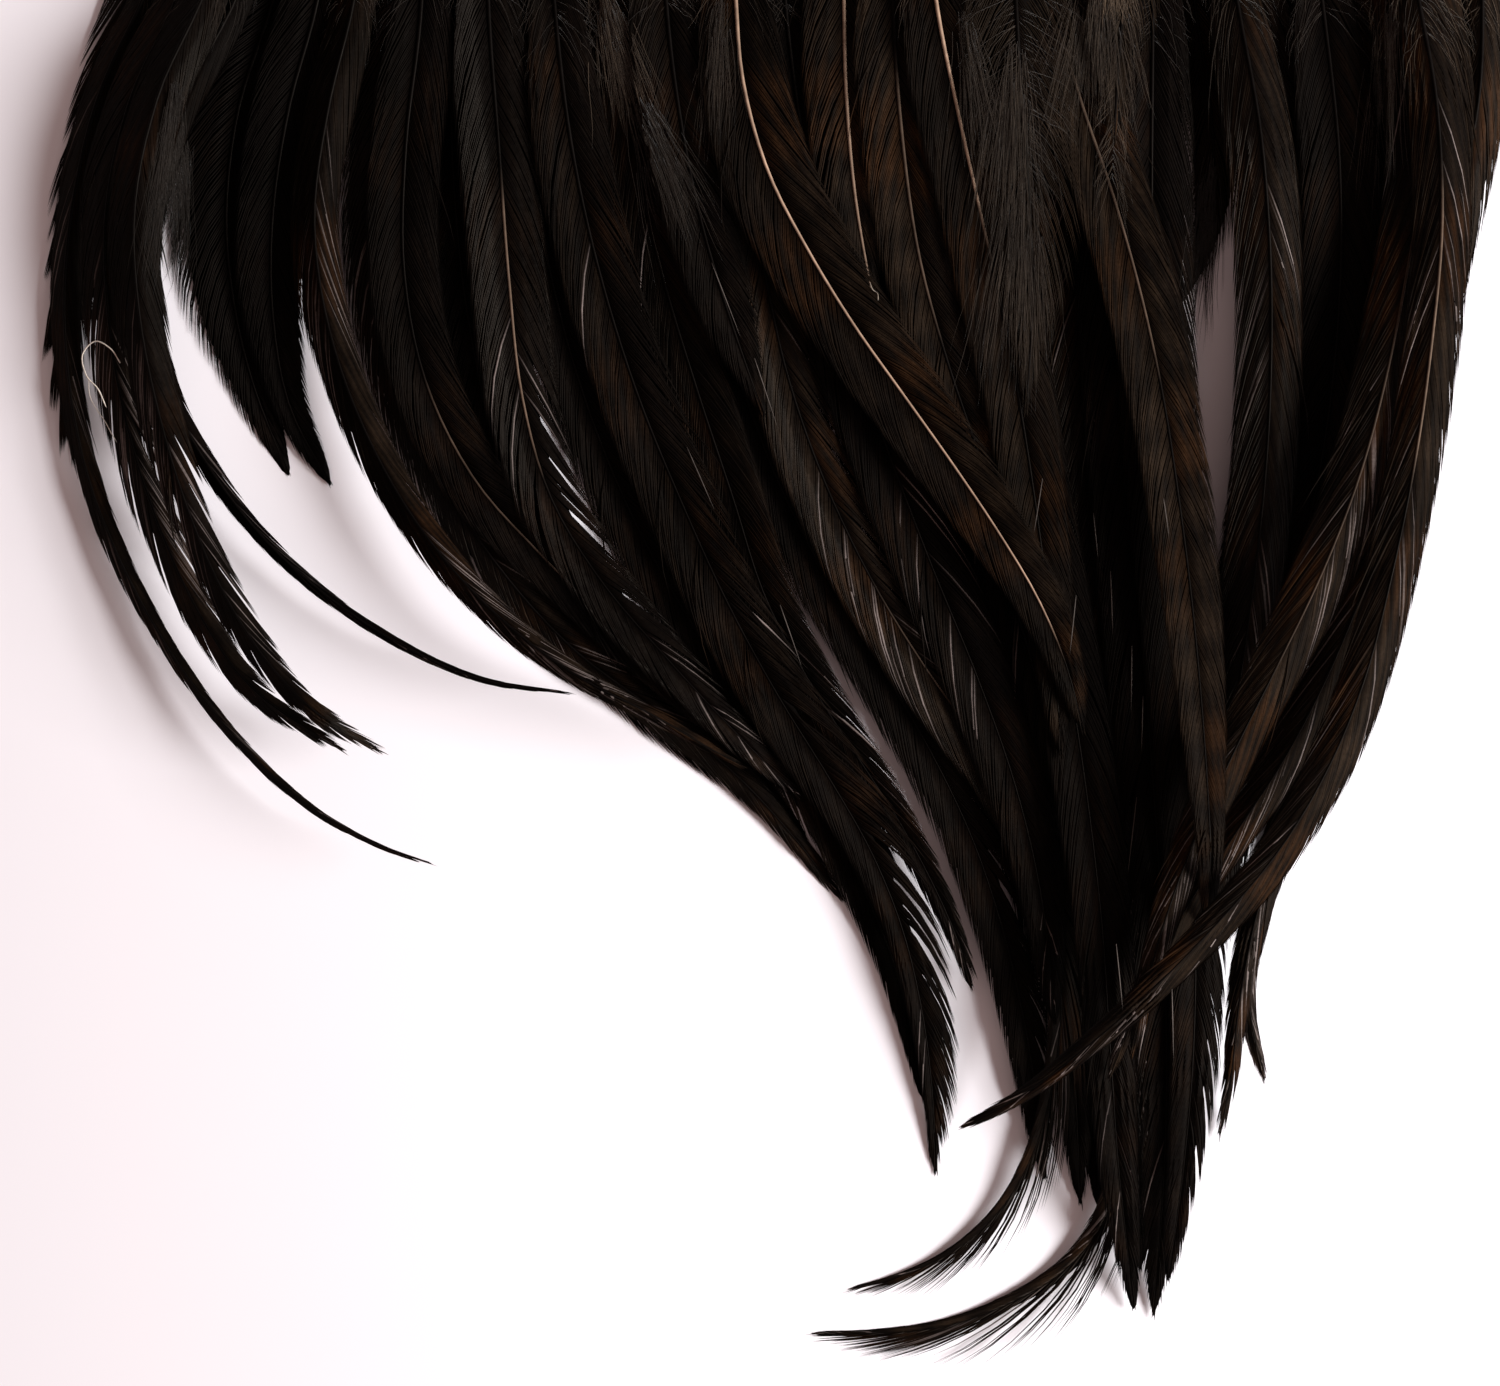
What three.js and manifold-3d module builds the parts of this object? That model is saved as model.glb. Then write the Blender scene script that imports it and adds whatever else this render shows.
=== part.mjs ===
// A strung bunch of long black rooster feathers, lying on a flat surface as picked up and put down.
// Millimetres, +Z up. The quills stand side by side along X and are held by two rows of stitching,
// whose front row has its middle at the origin. The feathers run towards -Y and lie one on another.
import * as THREE from "three";
import ManifoldModule from "manifold-3d";

const manifoldModule = await ManifoldModule();
manifoldModule.setup();
const { Manifold } = manifoldModule;

// The stitched quills.
const QUILL_COUNT = 46;
const STRIP_LENGTH = 158; // from the first quill's middle to the last one's
const QUILL_RADIUS = 0.65;
const QUILL_HEIGHT = 1.5; // of a quill's middle over the surface, where the stitching holds it
const QUILL_BUTT_Y = 11; // where a quill ends, behind the stitching
const QUILL_LEAVES_Y = -1; // where it leaves the stitching
const HELD_LENGTH = QUILL_BUTT_Y - QUILL_LEAVES_Y;
const QUILL_PITCH = STRIP_LENGTH / (QUILL_COUNT - 1);

// The stitching, a thread that runs over and under the quills and between each two of them.
const THREAD = 0.55; // thickness of the upper and lower run
const ROW_DEPTH = 1.2; // of a row of stitches along the quills
const ROW_SPACING = 7;
const ROW_OVERHANG = 2.6; // past the first and last quill
const QUILL_ROOM = 1; // from a quill's middle to the side of its stitch

// One feather. Its barbs leave the shaft and run forward to the vane's edge.
const VANE_START = 16; // bare quill, measured from its butt
const VANE_OPENS_OVER = 0.14; // share of the vane's length in which it reaches its full width
const VANE_FIRST_WIDTH = 0.25; // share of the full width at the vane's start
const BARB_LEAD = 6.5; // how far ahead of its foot a barb ends, with no reach and
const BARB_SWEEP = 1.1; // for each millimetre of reach
const TIP_SLIMNESS = 0.3; // width of one side for each millimetre that is left to the tip
const TIP_WIDTH = 0.25;
const LEANS_FROM = 0.5; // share of the vane from which a row's uneven widths begin to show
const LEANS_FULLY = 0.8;
const VANE_LOCKS = 13; // locks of barbs along each side of the solid's vane
const LOCK_SWEEP = 1.3; // how far a lock's notch lies ahead of its foot, for each millimetre of reach
const NOTCH_MIDDLE = 0.1; // depth of the notches between locks, as a share of the width
const NOTCH_TIP = 0.35;
const SHAFT_TIP_RADIUS = 0.16;
const LOCK_END = 0.8; // where along a lock its tip is, from one notch to the next
const LAST_LOCKS_SWEEP = 0.7; // share of what is left of the shaft that a lock may run ahead
const EDGE_PASSES = 6; // of finding the barb that ends at a place on the edge
const CURVE_DIVISIONS = 400;
const STEEPEST_FOLD = 60; // degrees

// How the feathers settle on each other.
const GAP = 0.35; // between a feather and what it lies on
const CELL = 0.8; // of the height map of what has been laid so far
const STEP = 4; // between the places along a feather where its height is worked out
const SAG = 0.002; // 1/mm, curvature of a feather where it bridges a gap
const SETTLING_PASSES = 260;
const CLEARING_PASSES = 40;
const CLEAR_ENOUGH = 1e-4;
const PAST_TIP = 12; // the heights go on this far, for locks that reach past the tip
const RISES_FROM = 0.3; // share of the length from which a feather with a rise stands up
const MAP_WIDTH = 4096; // cells across the height map
const SAMPLES_PER_CELL = 1.4;

// The feathers, from the one laid first to the one on top. Every row has
//   place  its number along the string, from the left
//   width  of one side of the vane, from shaft to edge, at its widest
//   taper  how long the vane keeps its width: 1 narrows from the start, 5 stays wide to the tip
//   wide   how much wider than that the left and the right side are towards the tip
//   fold   degrees by which both sides hang down from the shaft, and
//   tilt   degrees by which the whole vane leans to the left (-) or right (+)
//   rise   how far the tip stands up from where it would lie
//   path   the shaft in plan, from where it has left the stitching to the tip
const FEATHERS = [
  { place: 1, width: 4.2, taper: 3, wide: [0.7, 1], path: [[-82.5, -20], [-86.2, -31], [-88.8, -42],
      [-90.4, -53], [-90.9, -64], [-90.2, -76]] },
  { place: 36, width: 5.4, taper: 6, path: [[45.3, -20], [47.2, -32], [47.6, -42], [46.3, -50],
      [43.6, -57]] },
  { place: 23, width: 5.2, taper: 4, path: [[0, -22], [3, -41], [8, -60], [14, -78], [20, -95],
      [25.5, -112], [29.8, -128], [32.3, -143], [33.4, -156], [34, -167]] },
  { place: 39, width: 6, taper: 4, path: [[56.5, -22], [58, -40], [57.8, -57], [56, -73], [53.3, -89],
      [50.3, -105], [47.3, -121], [44.8, -137], [43, -151]] },
  { place: 11, width: 5.6, taper: 4, path: [[-44.5, -24], [-44.2, -42], [-42.5, -58], [-39.5, -72],
      [-35, -84], [-28.5, -95.5], [-19.5, -104.8], [-10, -112.8], [-1, -122]] },
  { place: 15, width: 5.2, taper: 4, path: [[-28.5, -22], [-26.5, -40], [-22.5, -56], [-17, -71],
      [-11, -85], [-5, -98], [1, -110], [6, -121], [10, -131]] },
  { place: 29, width: 5.2, taper: 5, path: [[20, -22], [22.5, -44], [25.5, -66], [28.8, -87],
      [31.8, -108], [34.8, -128], [37.2, -146], [38.4, -160], [38.8, -174]] },
  { place: 21, width: 5.2, taper: 4, path: [[-6.5, -22], [-3.5, -40], [1, -57], [7, -74], [13, -90],
      [19, -105], [24, -119], [28, -133], [30.4, -147], [31.6, -166]] },
  { place: 38, width: 5, taper: 4, path: [[52.5, -22], [55, -40], [56.3, -57], [55.8, -73], [53.8, -89],
      [51.2, -105], [48.6, -120], [46.5, -134]] },
  { place: 25, width: 5.2, taper: 5, path: [[7.5, -22], [10.5, -42], [15, -62], [20.5, -82],
      [25.8, -101], [30.3, -119], [33.8, -136], [35.9, -151], [36.6, -171]] },
  { place: 32, width: 4.8, taper: 4, wide: [1.1, 0.5], tilt: 6,
    path: [[30.3, -22], [30.8, -40], [31.3, -58], [32.3, -76], [33.5, -94], [35, -112], [36.3, -129],
      [37, -145], [36.7, -158.3], [34.2, -167.5], [29.3, -173.5], [22.8, -177.4], [15.4, -180.1],
      [7.3, -181.1], [-1.5, -181.1]] },
  { place: 17, width: 4.4, taper: 6, path: [[-20.5, -22], [-17.3, -38], [-13.5, -53], [-9.5, -66],
      [-5, -78], [0.5, -89], [6.8, -99.5], [13, -110], [18.3, -121], [22, -132], [24.6, -143],
      [26.2, -153], [27.4, -163]] },
  { place: 41, width: 6.2, taper: 4, path: [[63.5, -22], [64.3, -39], [63.3, -55], [60.5, -70.5],
      [56.7, -85.5], [52.3, -100], [48, -115], [44.3, -130], [41.5, -145]] },
  { place: 40, width: 5, taper: 4, path: [[60.5, -22], [62.2, -39], [62.4, -55], [61, -71], [58.2, -86],
      [54.6, -101], [50.2, -116], [46, -131], [42.8, -147]] },
  { place: 2, width: 3.6, taper: 1, fold: 40, rise: 9, path: [[-81, -19], [-86.5, -31], [-89.6, -43],
      [-90.9, -55], [-90.2, -67], [-87.7, -78.6], [-82.9, -90.1], [-76.7, -100.5], [-69.1, -109.9],
      [-60.9, -117.2], [-52.6, -121.8], [-45.6, -124.1]] },
  { place: 6, width: 6.6, taper: 3, wide: [1, 0.6], path: [[-66, -20], [-70.2, -33], [-71.7, -46],
      [-70.7, -57], [-68.4, -66.5], [-64, -77.8]] },
  { place: 9, width: 4.2, taper: 3, fold: 12, path: [[-51.5, -22], [-53.5, -38], [-53.6, -52],
      [-50.8, -65], [-45.5, -77.8], [-38.3, -88.9], [-29.7, -98.3], [-20, -105.6], [-10.6, -113],
      [-3.4, -120.7], [3.2, -129.2]] },
  { place: 13, width: 4.4, taper: 4, path: [[-36.3, -22], [-34.8, -40], [-31.8, -56], [-27.5, -70.5],
      [-22, -83.5], [-15.5, -95], [-8.5, -105.3], [-1.3, -114.8], [4.2, -125], [8.6, -135.2],
      [11.2, -144.7], [12.8, -153.5]] },
  { place: 19, width: 4.6, taper: 3, wide: [1.2, 0.5], tilt: -6,
    path: [[-13, -22], [-9.5, -37], [-7, -51], [-4, -65], [0.5, -78], [6.5, -90.5], [13, -101],
      [20, -110.8], [25, -120.5], [28, -131], [29, -141], [28, -150.8], [25.7, -159], [21.8, -165.9],
      [16.3, -170.9], [10, -174], [3, -175.9]] },
  { place: 37, width: 4, taper: 4, fold: 10, path: [[50, -20], [52.5, -35], [53.8, -50], [54, -64],
      [53.3, -78], [51.7, -92], [49.7, -106], [47.5, -120], [45.7, -134], [44, -149]] },
  { place: 33, width: 5.2, taper: 5, path: [[34, -22], [35, -42], [36.2, -62], [37.5, -82],
      [38.9, -101], [40.2, -120], [41.1, -138], [41.3, -154], [41, -167], [40.3, -179.5]] },
  { place: 35, width: 4.6, taper: 4, path: [[40, -22], [39.8, -42], [40, -62], [41.2, -82], [43, -101],
      [44.2, -120], [44.6, -137], [44, -152], [42.9, -165], [41.8, -175]] },
  { place: 45, width: 3.8, taper: 3, wide: [0.8, 1], fold: 20,
    path: [[77.5, -20], [77.3, -34], [75.6, -48], [72.8, -61], [70, -73], [66.9, -86], [64.4, -98],
      [61, -109.5], [57, -119.5], [53.4, -129.5], [51.9, -140.5], [54, -151]] },
  { place: 46, width: 3.8, taper: 3, fold: 20, path: [[79.6, -20], [78.9, -33], [76, -46], [72.4, -59],
      [69.4, -72], [66.4, -84.5], [63.8, -96.5], [60.2, -108], [55.8, -119], [52.2, -130], [50.3, -141],
      [49.6, -149.5], [48.1, -157.8]] },
  { place: 3, width: 4, taper: 3, fold: 32, rise: 8, path: [[-77, -20], [-82.6, -33], [-85.4, -46],
      [-85.1, -59.5], [-82.8, -72.3], [-78.9, -84.2], [-74, -94.6], [-67.8, -103.1],
      [-56.3, -110.8]] },
  { place: 10, width: 4.6, taper: 3, path: [[-48, -22], [-49.8, -38], [-50, -53], [-47.3, -66.5],
      [-41.5, -78], [-34, -86.5], [-26.5, -94], [-19, -101.5], [-13, -107], [-8, -111]] },
  { place: 22, width: 5.2, taper: 4, path: [[-4, -22], [-1.5, -40], [2.5, -57], [7.7, -73], [13.3, -88],
      [19, -102], [23.5, -115], [26.5, -128], [28.3, -144]] },
  { place: 16, width: 4.4, taper: 3, tilt: 8, path: [[-24.5, -22], [-22.3, -38], [-19, -53],
      [-14.8, -67], [-10.5, -80], [-6.6, -92], [-1.4, -102], [4, -110.5], [9.2, -118.5], [13.8, -127],
      [16.8, -134], [18.6, -140]] },
  { place: 7, width: 5, taper: 3, wide: [0.8, 0.65], path: [[-60.5, -20], [-64, -33], [-66, -46],
      [-66, -58], [-64, -69], [-58.8, -79]] },
  { place: 28, width: 4.4, taper: 5, path: [[17, -22], [19.5, -40], [22.5, -58], [25.5, -76],
      [28.5, -94], [31.3, -112], [33.3, -129], [34.4, -145], [35.5, -159], [37, -171], [38, -178.5]] },
  { place: 5, width: 3.2, taper: 1, fold: 40, rise: 7, path: [[-70, -20], [-76.2, -33], [-80, -46],
      [-80.3, -57], [-77.6, -68.3], [-72.5, -77.5], [-66.1, -85.6], [-59.2, -91.8], [-51.3, -97.1],
      [-41, -101.8], [-29.3, -103.7]] },
  { place: 12, width: 5.2, taper: 3, tilt: -8, path: [[-39.8, -22], [-38.6, -38], [-37.4, -54],
      [-35.8, -68], [-32.4, -80], [-26.4, -90], [-18.8, -99], [-10.5, -108], [-2, -116.5]] },
  { place: 14, width: 4.8, taper: 5, wide: [1.35, 0.6], path: [[-31.8, -22], [-29.8, -38], [-26.5, -53],
      [-22, -67.5], [-16.5, -81], [-11, -93], [-5, -104], [1.2, -114], [6.3, -123], [9.9, -132],
      [12.3, -142], [13.6, -152], [14.1, -162.5]] },
  { place: 44, width: 3.9, taper: 3, fold: 14, path: [[74, -20], [74.6, -34], [73.3, -48], [71.2, -62],
      [68.8, -76], [65.3, -89], [60.5, -101], [55, -111.5], [49, -120.5], [43, -129.5], [38, -139],
      [34, -150]] },
  { place: 42, width: 4.4, taper: 3, fold: 14, path: [[68.8, -19], [71, -31], [71.2, -43], [69.3, -55],
      [66.8, -67], [63.6, -78.5], [59.3, -89.5], [54.2, -100], [48.6, -111], [43.4, -122.5],
      [39.2, -134.5], [36.5, -147]] },
  { place: 4, width: 3.8, taper: 3, fold: 28, path: [[-73.5, -20], [-78.8, -33], [-81.5, -46],
      [-80.9, -59], [-78.3, -71.7], [-74.9, -82.5], [-70.7, -92], [-65.5, -100], [-59.4, -106.2],
      [-51.8, -111]] },
  { place: 24, width: 5.4, taper: 3, path: [[2.8, -18], [3.1, -31], [4.2, -44], [6.8, -59]] },
  { place: 26, width: 5.2, taper: 3, path: [[8.8, -22], [9.8, -37], [11.8, -51], [15, -63], [18.7, -74],
      [22.8, -86]] },
  { place: 27, width: 5.2, taper: 3, path: [[13.7, -20], [16.2, -33], [19, -45.5], [21.8, -58],
      [24.2, -71], [26.2, -84.5], [27.8, -98], [28.8, -112]] },
  { place: 31, width: 4.8, taper: 3, tilt: -5, path: [[28, -20], [31, -32], [35, -44], [38.3, -56],
      [40.8, -68], [42.6, -80.5], [44, -93], [45, -106], [45.6, -119], [45.8, -132]] },
  { place: 8, width: 3.4, taper: 2, fold: 22, rise: 3, path: [[-56, -20], [-59, -33], [-60.7, -45],
      [-60.1, -54], [-57.7, -64], [-53.9, -73.4], [-48.9, -82.2], [-42.8, -90], [-35.7, -96.7],
      [-28.1, -102], [-20.3, -106], [-14.2, -109.6], [-8.5, -112.8]] },
  { place: 18, width: 5, taper: 3, path: [[-18.5, -20], [-17, -33], [-14.5, -46], [-11, -58],
      [-6.5, -71]] },
  { place: 43, width: 3.6, taper: 3, fold: 12, path: [[71, -20], [73, -34], [73.5, -48], [72.2, -62],
      [70.2, -76], [67.5, -89], [64.2, -101.5], [59.6, -112.5], [53.4, -122.5], [45.5, -131.5],
      [37.5, -139.5], [29.5, -147], [22.8, -152.5], [16.5, -156.2]] },
  { place: 20, width: 5.6, taper: 3, path: [[-10.3, -18], [-9.3, -30], [-6.3, -41], [-1.5, -50.5],
      [4, -59.5], [10, -68], [16, -76.5], [21.5, -84.8], [26, -92.5], [29.3, -100.5], [31.5, -109]] },
  { place: 30, width: 7, taper: 4, path: [[23.3, -20], [24, -33], [25, -46], [25.3, -58],
      [24.5, -71]] },
  { place: 34, width: 4.6, taper: 4, path: [[36.5, -18], [35.7, -28], [35, -39]] },
];

const vaneMaterial = new THREE.MeshStandardMaterial({ color: 0x17110e, roughness: 0.45, metalness: 0 });
const threadMaterial = new THREE.MeshStandardMaterial({ color: 0x2a2624, roughness: 0.8, metalness: 0 });

const quillX = (place) => (place - 1) * QUILL_PITCH - STRIP_LENGTH / 2;
const smooth = (t) => t * t * (3 - 2 * t);
const clamp01 = (t) => Math.min(1, Math.max(0, t));
const mix = (a, b, t) => a + (b - a) * t;

// A feather's shaft in plan: a point and the direction to its left, at a distance from the butt.
function shaftPlan(row) {
  const x = quillX(row.place);
  const points = [[x, QUILL_BUTT_Y], [x, QUILL_LEAVES_Y], ...row.path];
  const places = points.map(([px, py]) => new THREE.Vector3(px, py, 0));
  const curve = new THREE.CatmullRomCurve3(places, false, "centripetal");
  curve.arcLengthDivisions = CURVE_DIVISIONS;
  const length = curve.getLength();
  const at = (distance) => {
    const u = clamp01(distance / length);
    const along = curve.getTangentAt(u);
    const point = curve.getPointAt(u).addScaledVector(along, distance - u * length);
    return { point, left: new THREE.Vector3(-along.y, along.x, 0) };
  };
  return { length, at };
}

// Reach of a barb, from the shaft to its end, that leaves the shaft at a distance from the butt.
function barbReach(row, length, start, side) {
  const share = clamp01((start - VANE_START) / (length - VANE_START));
  const opening = mix(VANE_FIRST_WIDTH, 1, smooth(clamp01(share / VANE_OPENS_OVER)));
  const leaning = smooth(clamp01((share - LEANS_FROM) / (LEANS_FULLY - LEANS_FROM)));
  const wide = mix(1, (row.wide ?? [1, 1])[side > 0 ? 0 : 1], leaning);
  const reach = row.width * wide * opening * (1 - share ** row.taper);
  const lead = Math.min(BARB_LEAD + BARB_SWEEP * reach, length - start);
  return { lead, reach: Math.min(reach, TIP_SLIMNESS * (length - start - lead) + TIP_WIDTH) };
}

// Distance from the shaft to the vane's edge, where the barbs end.
function edgeReach(row, length, distance, side) {
  let start = distance - BARB_LEAD;
  for (let i = 0; i < EDGE_PASSES; i++) start = distance - barbReach(row, length, start, side).lead;
  return barbReach(row, length, start, side).reach;
}

// The corners and faces of a feather. A corner's height is counted from the shaft's height at its
// distance along the feather, which settling gives later.
function featherShape(row) {
  const plan = shaftPlan(row);
  const corners = [];
  const top = [];
  const bottom = [];
  const corner = (distance, side, reach, height) => {
    const hang = Math.min(STEEPEST_FOLD, (row.fold ?? 0) - side * (row.tilt ?? 0));
    const fold = THREE.MathUtils.degToRad(hang);
    const { point, left } = plan.at(distance);
    point.addScaledVector(left, side * reach * Math.cos(fold));
    const hangs = Math.abs(side) * reach * Math.sin(fold);
    corners.push({ x: point.x, y: point.y, distance, height: height - hangs });
    return corners.length - 1;
  };
  const radiusAt = (distance) => mix(QUILL_RADIUS, SHAFT_TIP_RADIUS, clamp01(distance / plan.length));
  const station = (distance, sides) => {
    const radius = radiusAt(distance);
    return { crest: corner(distance, 0, 0, radius), keel: corner(distance, 0, 0, -radius), sides };
  };
  const quillStation = (distance) => {
    return station(distance, [1, -1].map((side) => corner(distance, side, QUILL_RADIUS, 0)));
  };
  const edge = (distance, side, notch) => {
    return corner(distance, side, edgeReach(row, plan.length, distance, side) * (1 - notch), 0);
  };

  const stations = [0, HELD_LENGTH, VANE_START - QUILL_RADIUS].map(quillStation);
  const lockEnds = [];
  const spacing = (plan.length - VANE_START) / VANE_LOCKS;
  for (let i = 0; i < VANE_LOCKS; i++) {
    const foot = VANE_START + i * spacing;
    const notch = mix(NOTCH_MIDDLE, NOTCH_TIP, (i / VANE_LOCKS) ** 2);
    const ahead = (share) => {
      const start = foot + share * spacing;
      const sweep = LOCK_SWEEP * edgeReach(row, plan.length, start, 1);
      return start + Math.min(sweep, LAST_LOCKS_SWEEP * (plan.length - start));
    };
    stations.push(station(foot, [1, -1].map((side) => edge(ahead(0), side, notch))));
    lockEnds[stations.length - 1] = [1, -1].map((side) => edge(ahead(LOCK_END), side, 0));
  }
  const tip = corner(plan.length, 0, 0, 0);

  const face = (list, a, b, c, turn) => list.push(turn ? [a, c, b] : [a, b, c]);
  for (let i = 0; i < stations.length; i++) {
    const here = stations[i];
    const next = stations[i + 1];
    [0, 1].forEach((s) => {
      for (const [list, spine, turn] of [[top, "crest", s === 1], [bottom, "keel", s === 0]]) {
        if (!next) {
          face(list, here[spine], here.sides[s], lockEnds[i][s], !turn);
          face(list, here[spine], lockEnds[i][s], tip, !turn);
        } else if (lockEnds[i]) {
          face(list, here[spine], here.sides[s], lockEnds[i][s], !turn);
          face(list, here[spine], lockEnds[i][s], next[spine], !turn);
          face(list, next[spine], lockEnds[i][s], next.sides[s], !turn);
        } else {
          face(list, here[spine], here.sides[s], next[spine], !turn);
          face(list, next[spine], here.sides[s], next.sides[s], !turn);
        }
      }
    });
  }
  const first = stations[0];
  const butt = [[first.crest, first.sides[0], first.keel], [first.crest, first.keel, first.sides[1]]];
  return { plan, corners, top, bottom, butt };
}

// What has been laid so far, as the greatest height in each cell of a map.
const laid = new Map();
const cellKey = (i, j) => i * MAP_WIDTH + j;
const cellOf = (v) => Math.round(v / CELL) + MAP_WIDTH / 4;

function heightUnder(x, y) {
  let highest = -GAP;
  for (let i = -1; i <= 1; i++) {
    for (let j = -1; j <= 1; j++) {
      highest = Math.max(highest, laid.get(cellKey(cellOf(x) + i, cellOf(y) + j)) ?? -GAP);
    }
  }
  return highest;
}

// Calls visit(x, y, height, distance) all over some faces, at a spacing below a cell.
function sampleFaces(shape, faces, heightAt, visit) {
  for (const [a, b, c] of faces.map((f) => f.map((index) => shape.corners[index]))) {
    const sides = [[a, b], [b, c], [c, a]].map(([p, q]) => Math.hypot(p.x - q.x, p.y - q.y));
    const longest = Math.max(...sides);
    const n = Math.max(2, Math.ceil((longest * SAMPLES_PER_CELL) / CELL));
    const [za, zb, zc] = [a, b, c].map((corner) => corner.height + heightAt(corner.distance));
    for (let i = 0; i <= n; i++) {
      for (let j = 0; j <= n - i; j++) {
        const [u, v] = [i / n, j / n];
        const w = 1 - u - v;
        visit(a.x * w + b.x * u + c.x * v, a.y * w + b.y * u + c.y * v, za * w + zb * u + zc * v,
          a.distance * w + b.distance * u + c.distance * v);
      }
    }
  }
}

// The shaft's height along a feather that is laid on all those before it: it touches at its high
// places, bridges the gaps between them with a slight sag, and starts at its quill's height.
function settle(row, shape) {
  const count = Math.ceil((shape.plan.length + PAST_TIP) / STEP) + 1;
  const held = Math.ceil(HELD_LENGTH / STEP) + 1;
  const needed = new Array(count).fill(0);
  const tipIndex = Math.ceil(shape.plan.length / STEP);
  let heights = new Array(count).fill(QUILL_HEIGHT);
  const heightAt = (distance) => {
    const place = Math.min(count - 1.001, Math.max(0, distance / STEP));
    const i = Math.floor(place);
    return mix(heights[i], heights[i + 1], place - i);
  };
  const relax = () => {
    for (let pass = 0; pass < SETTLING_PASSES; pass++) {
      for (let i = held; i < tipIndex; i++) {
        const bridged = (heights[i - 1] + heights[i + 1] - SAG * STEP * STEP) / 2;
        heights[i] = Math.max(needed[i], bridged);
      }
      for (let i = tipIndex; i < count; i++) heights[i] = needed[i];
    }
  };
  const flat = () => 0;
  sampleFaces(shape, shape.bottom, flat, (x, y, height, distance) => {
    const i = Math.min(count - 1, Math.round(distance / STEP));
    if (i >= held) needed[i] = Math.max(needed[i], heightUnder(x, y) + GAP - height);
  });
  for (let i = tipIndex + 1; i < count; i++) needed[i] = Math.max(needed[i], needed[i - 1]);
  relax();
  for (let pass = 0; pass < CLEARING_PASSES; pass++) {
    const missing = new Array(count).fill(0);
    sampleFaces(shape, shape.bottom, heightAt, (x, y, height, distance) => {
      const short = heightUnder(x, y) + GAP - height;
      if (short <= 0) return;
      const i = Math.floor(distance / STEP);
      for (const k of [i, i + 1]) missing[k] = Math.max(missing[k] ?? 0, short);
    });
    if (Math.max(...missing) < CLEAR_ENOUGH) break;
    for (let i = held; i < count; i++) needed[i] = Math.max(needed[i], heights[i] + missing[i]);
    relax();
  }
  const from = shape.plan.length * RISES_FROM;
  const lift = (row.rise ?? 0) / (shape.plan.length - from) ** 2;
  heights = heights.map((height, i) => height + lift * Math.max(0, i * STEP - from) ** 2);
  return heightAt;
}

function laidFeather(row) {
  const shape = featherShape(row);
  const heightAt = settle(row, shape);
  sampleFaces(shape, shape.top, heightAt, (x, y, height) => {
    const key = cellKey(cellOf(x), cellOf(y));
    laid.set(key, Math.max(laid.get(key) ?? -GAP, height));
  });
  const positions = shape.corners.flatMap(({ x, y, height, distance }) => {
    return [x, y, height + heightAt(distance)];
  });
  const geometry = new THREE.BufferGeometry();
  geometry.setAttribute("position", new THREE.Float32BufferAttribute(positions, 3));
  geometry.setIndex([...shape.top, ...shape.bottom, ...shape.butt].flat());
  geometry.computeVertexNormals();
  const mesh = new THREE.Mesh(geometry, vaneMaterial);
  mesh.name = `feather_${String(row.place).padStart(2, "0")}`;
  return mesh;
}

// One row of stitches: an upper and a lower run of thread joined between each two quills.
function stitchRow(name, y) {
  const length = STRIP_LENGTH + 2 * ROW_OVERHANG;
  const height = 2 * QUILL_HEIGHT;
  const windows = [];
  for (let place = 1; place <= QUILL_COUNT; place += 2) {
    const size = [QUILL_PITCH + 2 * QUILL_ROOM, 2 * ROW_DEPTH, height - 2 * THREAD];
    const middle = (quillX(place) + quillX(place + 1)) / 2;
    windows.push(Manifold.cube(size, true).translate(middle, y, QUILL_HEIGHT));
  }
  const solidRow = Manifold.cube([length, ROW_DEPTH, height], true).translate(0, y, QUILL_HEIGHT);
  const row = solidRow.subtract(Manifold.union(windows));
  const cut = row.getMesh();
  const geometry = new THREE.BufferGeometry();
  geometry.setAttribute("position", new THREE.BufferAttribute(cut.vertProperties, 3));
  geometry.setIndex(new THREE.BufferAttribute(cut.triVerts, 1));
  geometry.computeVertexNormals();
  const mesh = new THREE.Mesh(geometry, threadMaterial);
  mesh.name = name;
  return mesh;
}

const bunch = new THREE.Group();
for (const row of FEATHERS) bunch.add(laidFeather(row));
bunch.add(stitchRow("stitching_front_row", 0));
bunch.add(stitchRow("stitching_back_row", ROW_SPACING));

export default bunch;
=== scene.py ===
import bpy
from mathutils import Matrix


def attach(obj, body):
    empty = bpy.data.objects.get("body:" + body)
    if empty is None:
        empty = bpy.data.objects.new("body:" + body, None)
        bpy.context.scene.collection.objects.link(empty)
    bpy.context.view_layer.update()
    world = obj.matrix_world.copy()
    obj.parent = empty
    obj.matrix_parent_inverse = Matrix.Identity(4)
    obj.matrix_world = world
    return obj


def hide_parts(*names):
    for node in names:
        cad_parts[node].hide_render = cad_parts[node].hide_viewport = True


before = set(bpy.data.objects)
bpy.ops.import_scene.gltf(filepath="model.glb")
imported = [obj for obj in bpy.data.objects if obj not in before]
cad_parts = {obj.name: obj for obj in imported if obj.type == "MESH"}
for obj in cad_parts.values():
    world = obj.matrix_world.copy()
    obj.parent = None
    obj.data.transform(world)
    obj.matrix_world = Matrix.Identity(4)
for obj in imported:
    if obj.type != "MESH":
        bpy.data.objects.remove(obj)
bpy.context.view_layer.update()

import math

import bpy
import numpy as np
from mathutils import Vector
from mathutils.bvhtree import BVHTree

MM = 0.001

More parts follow.
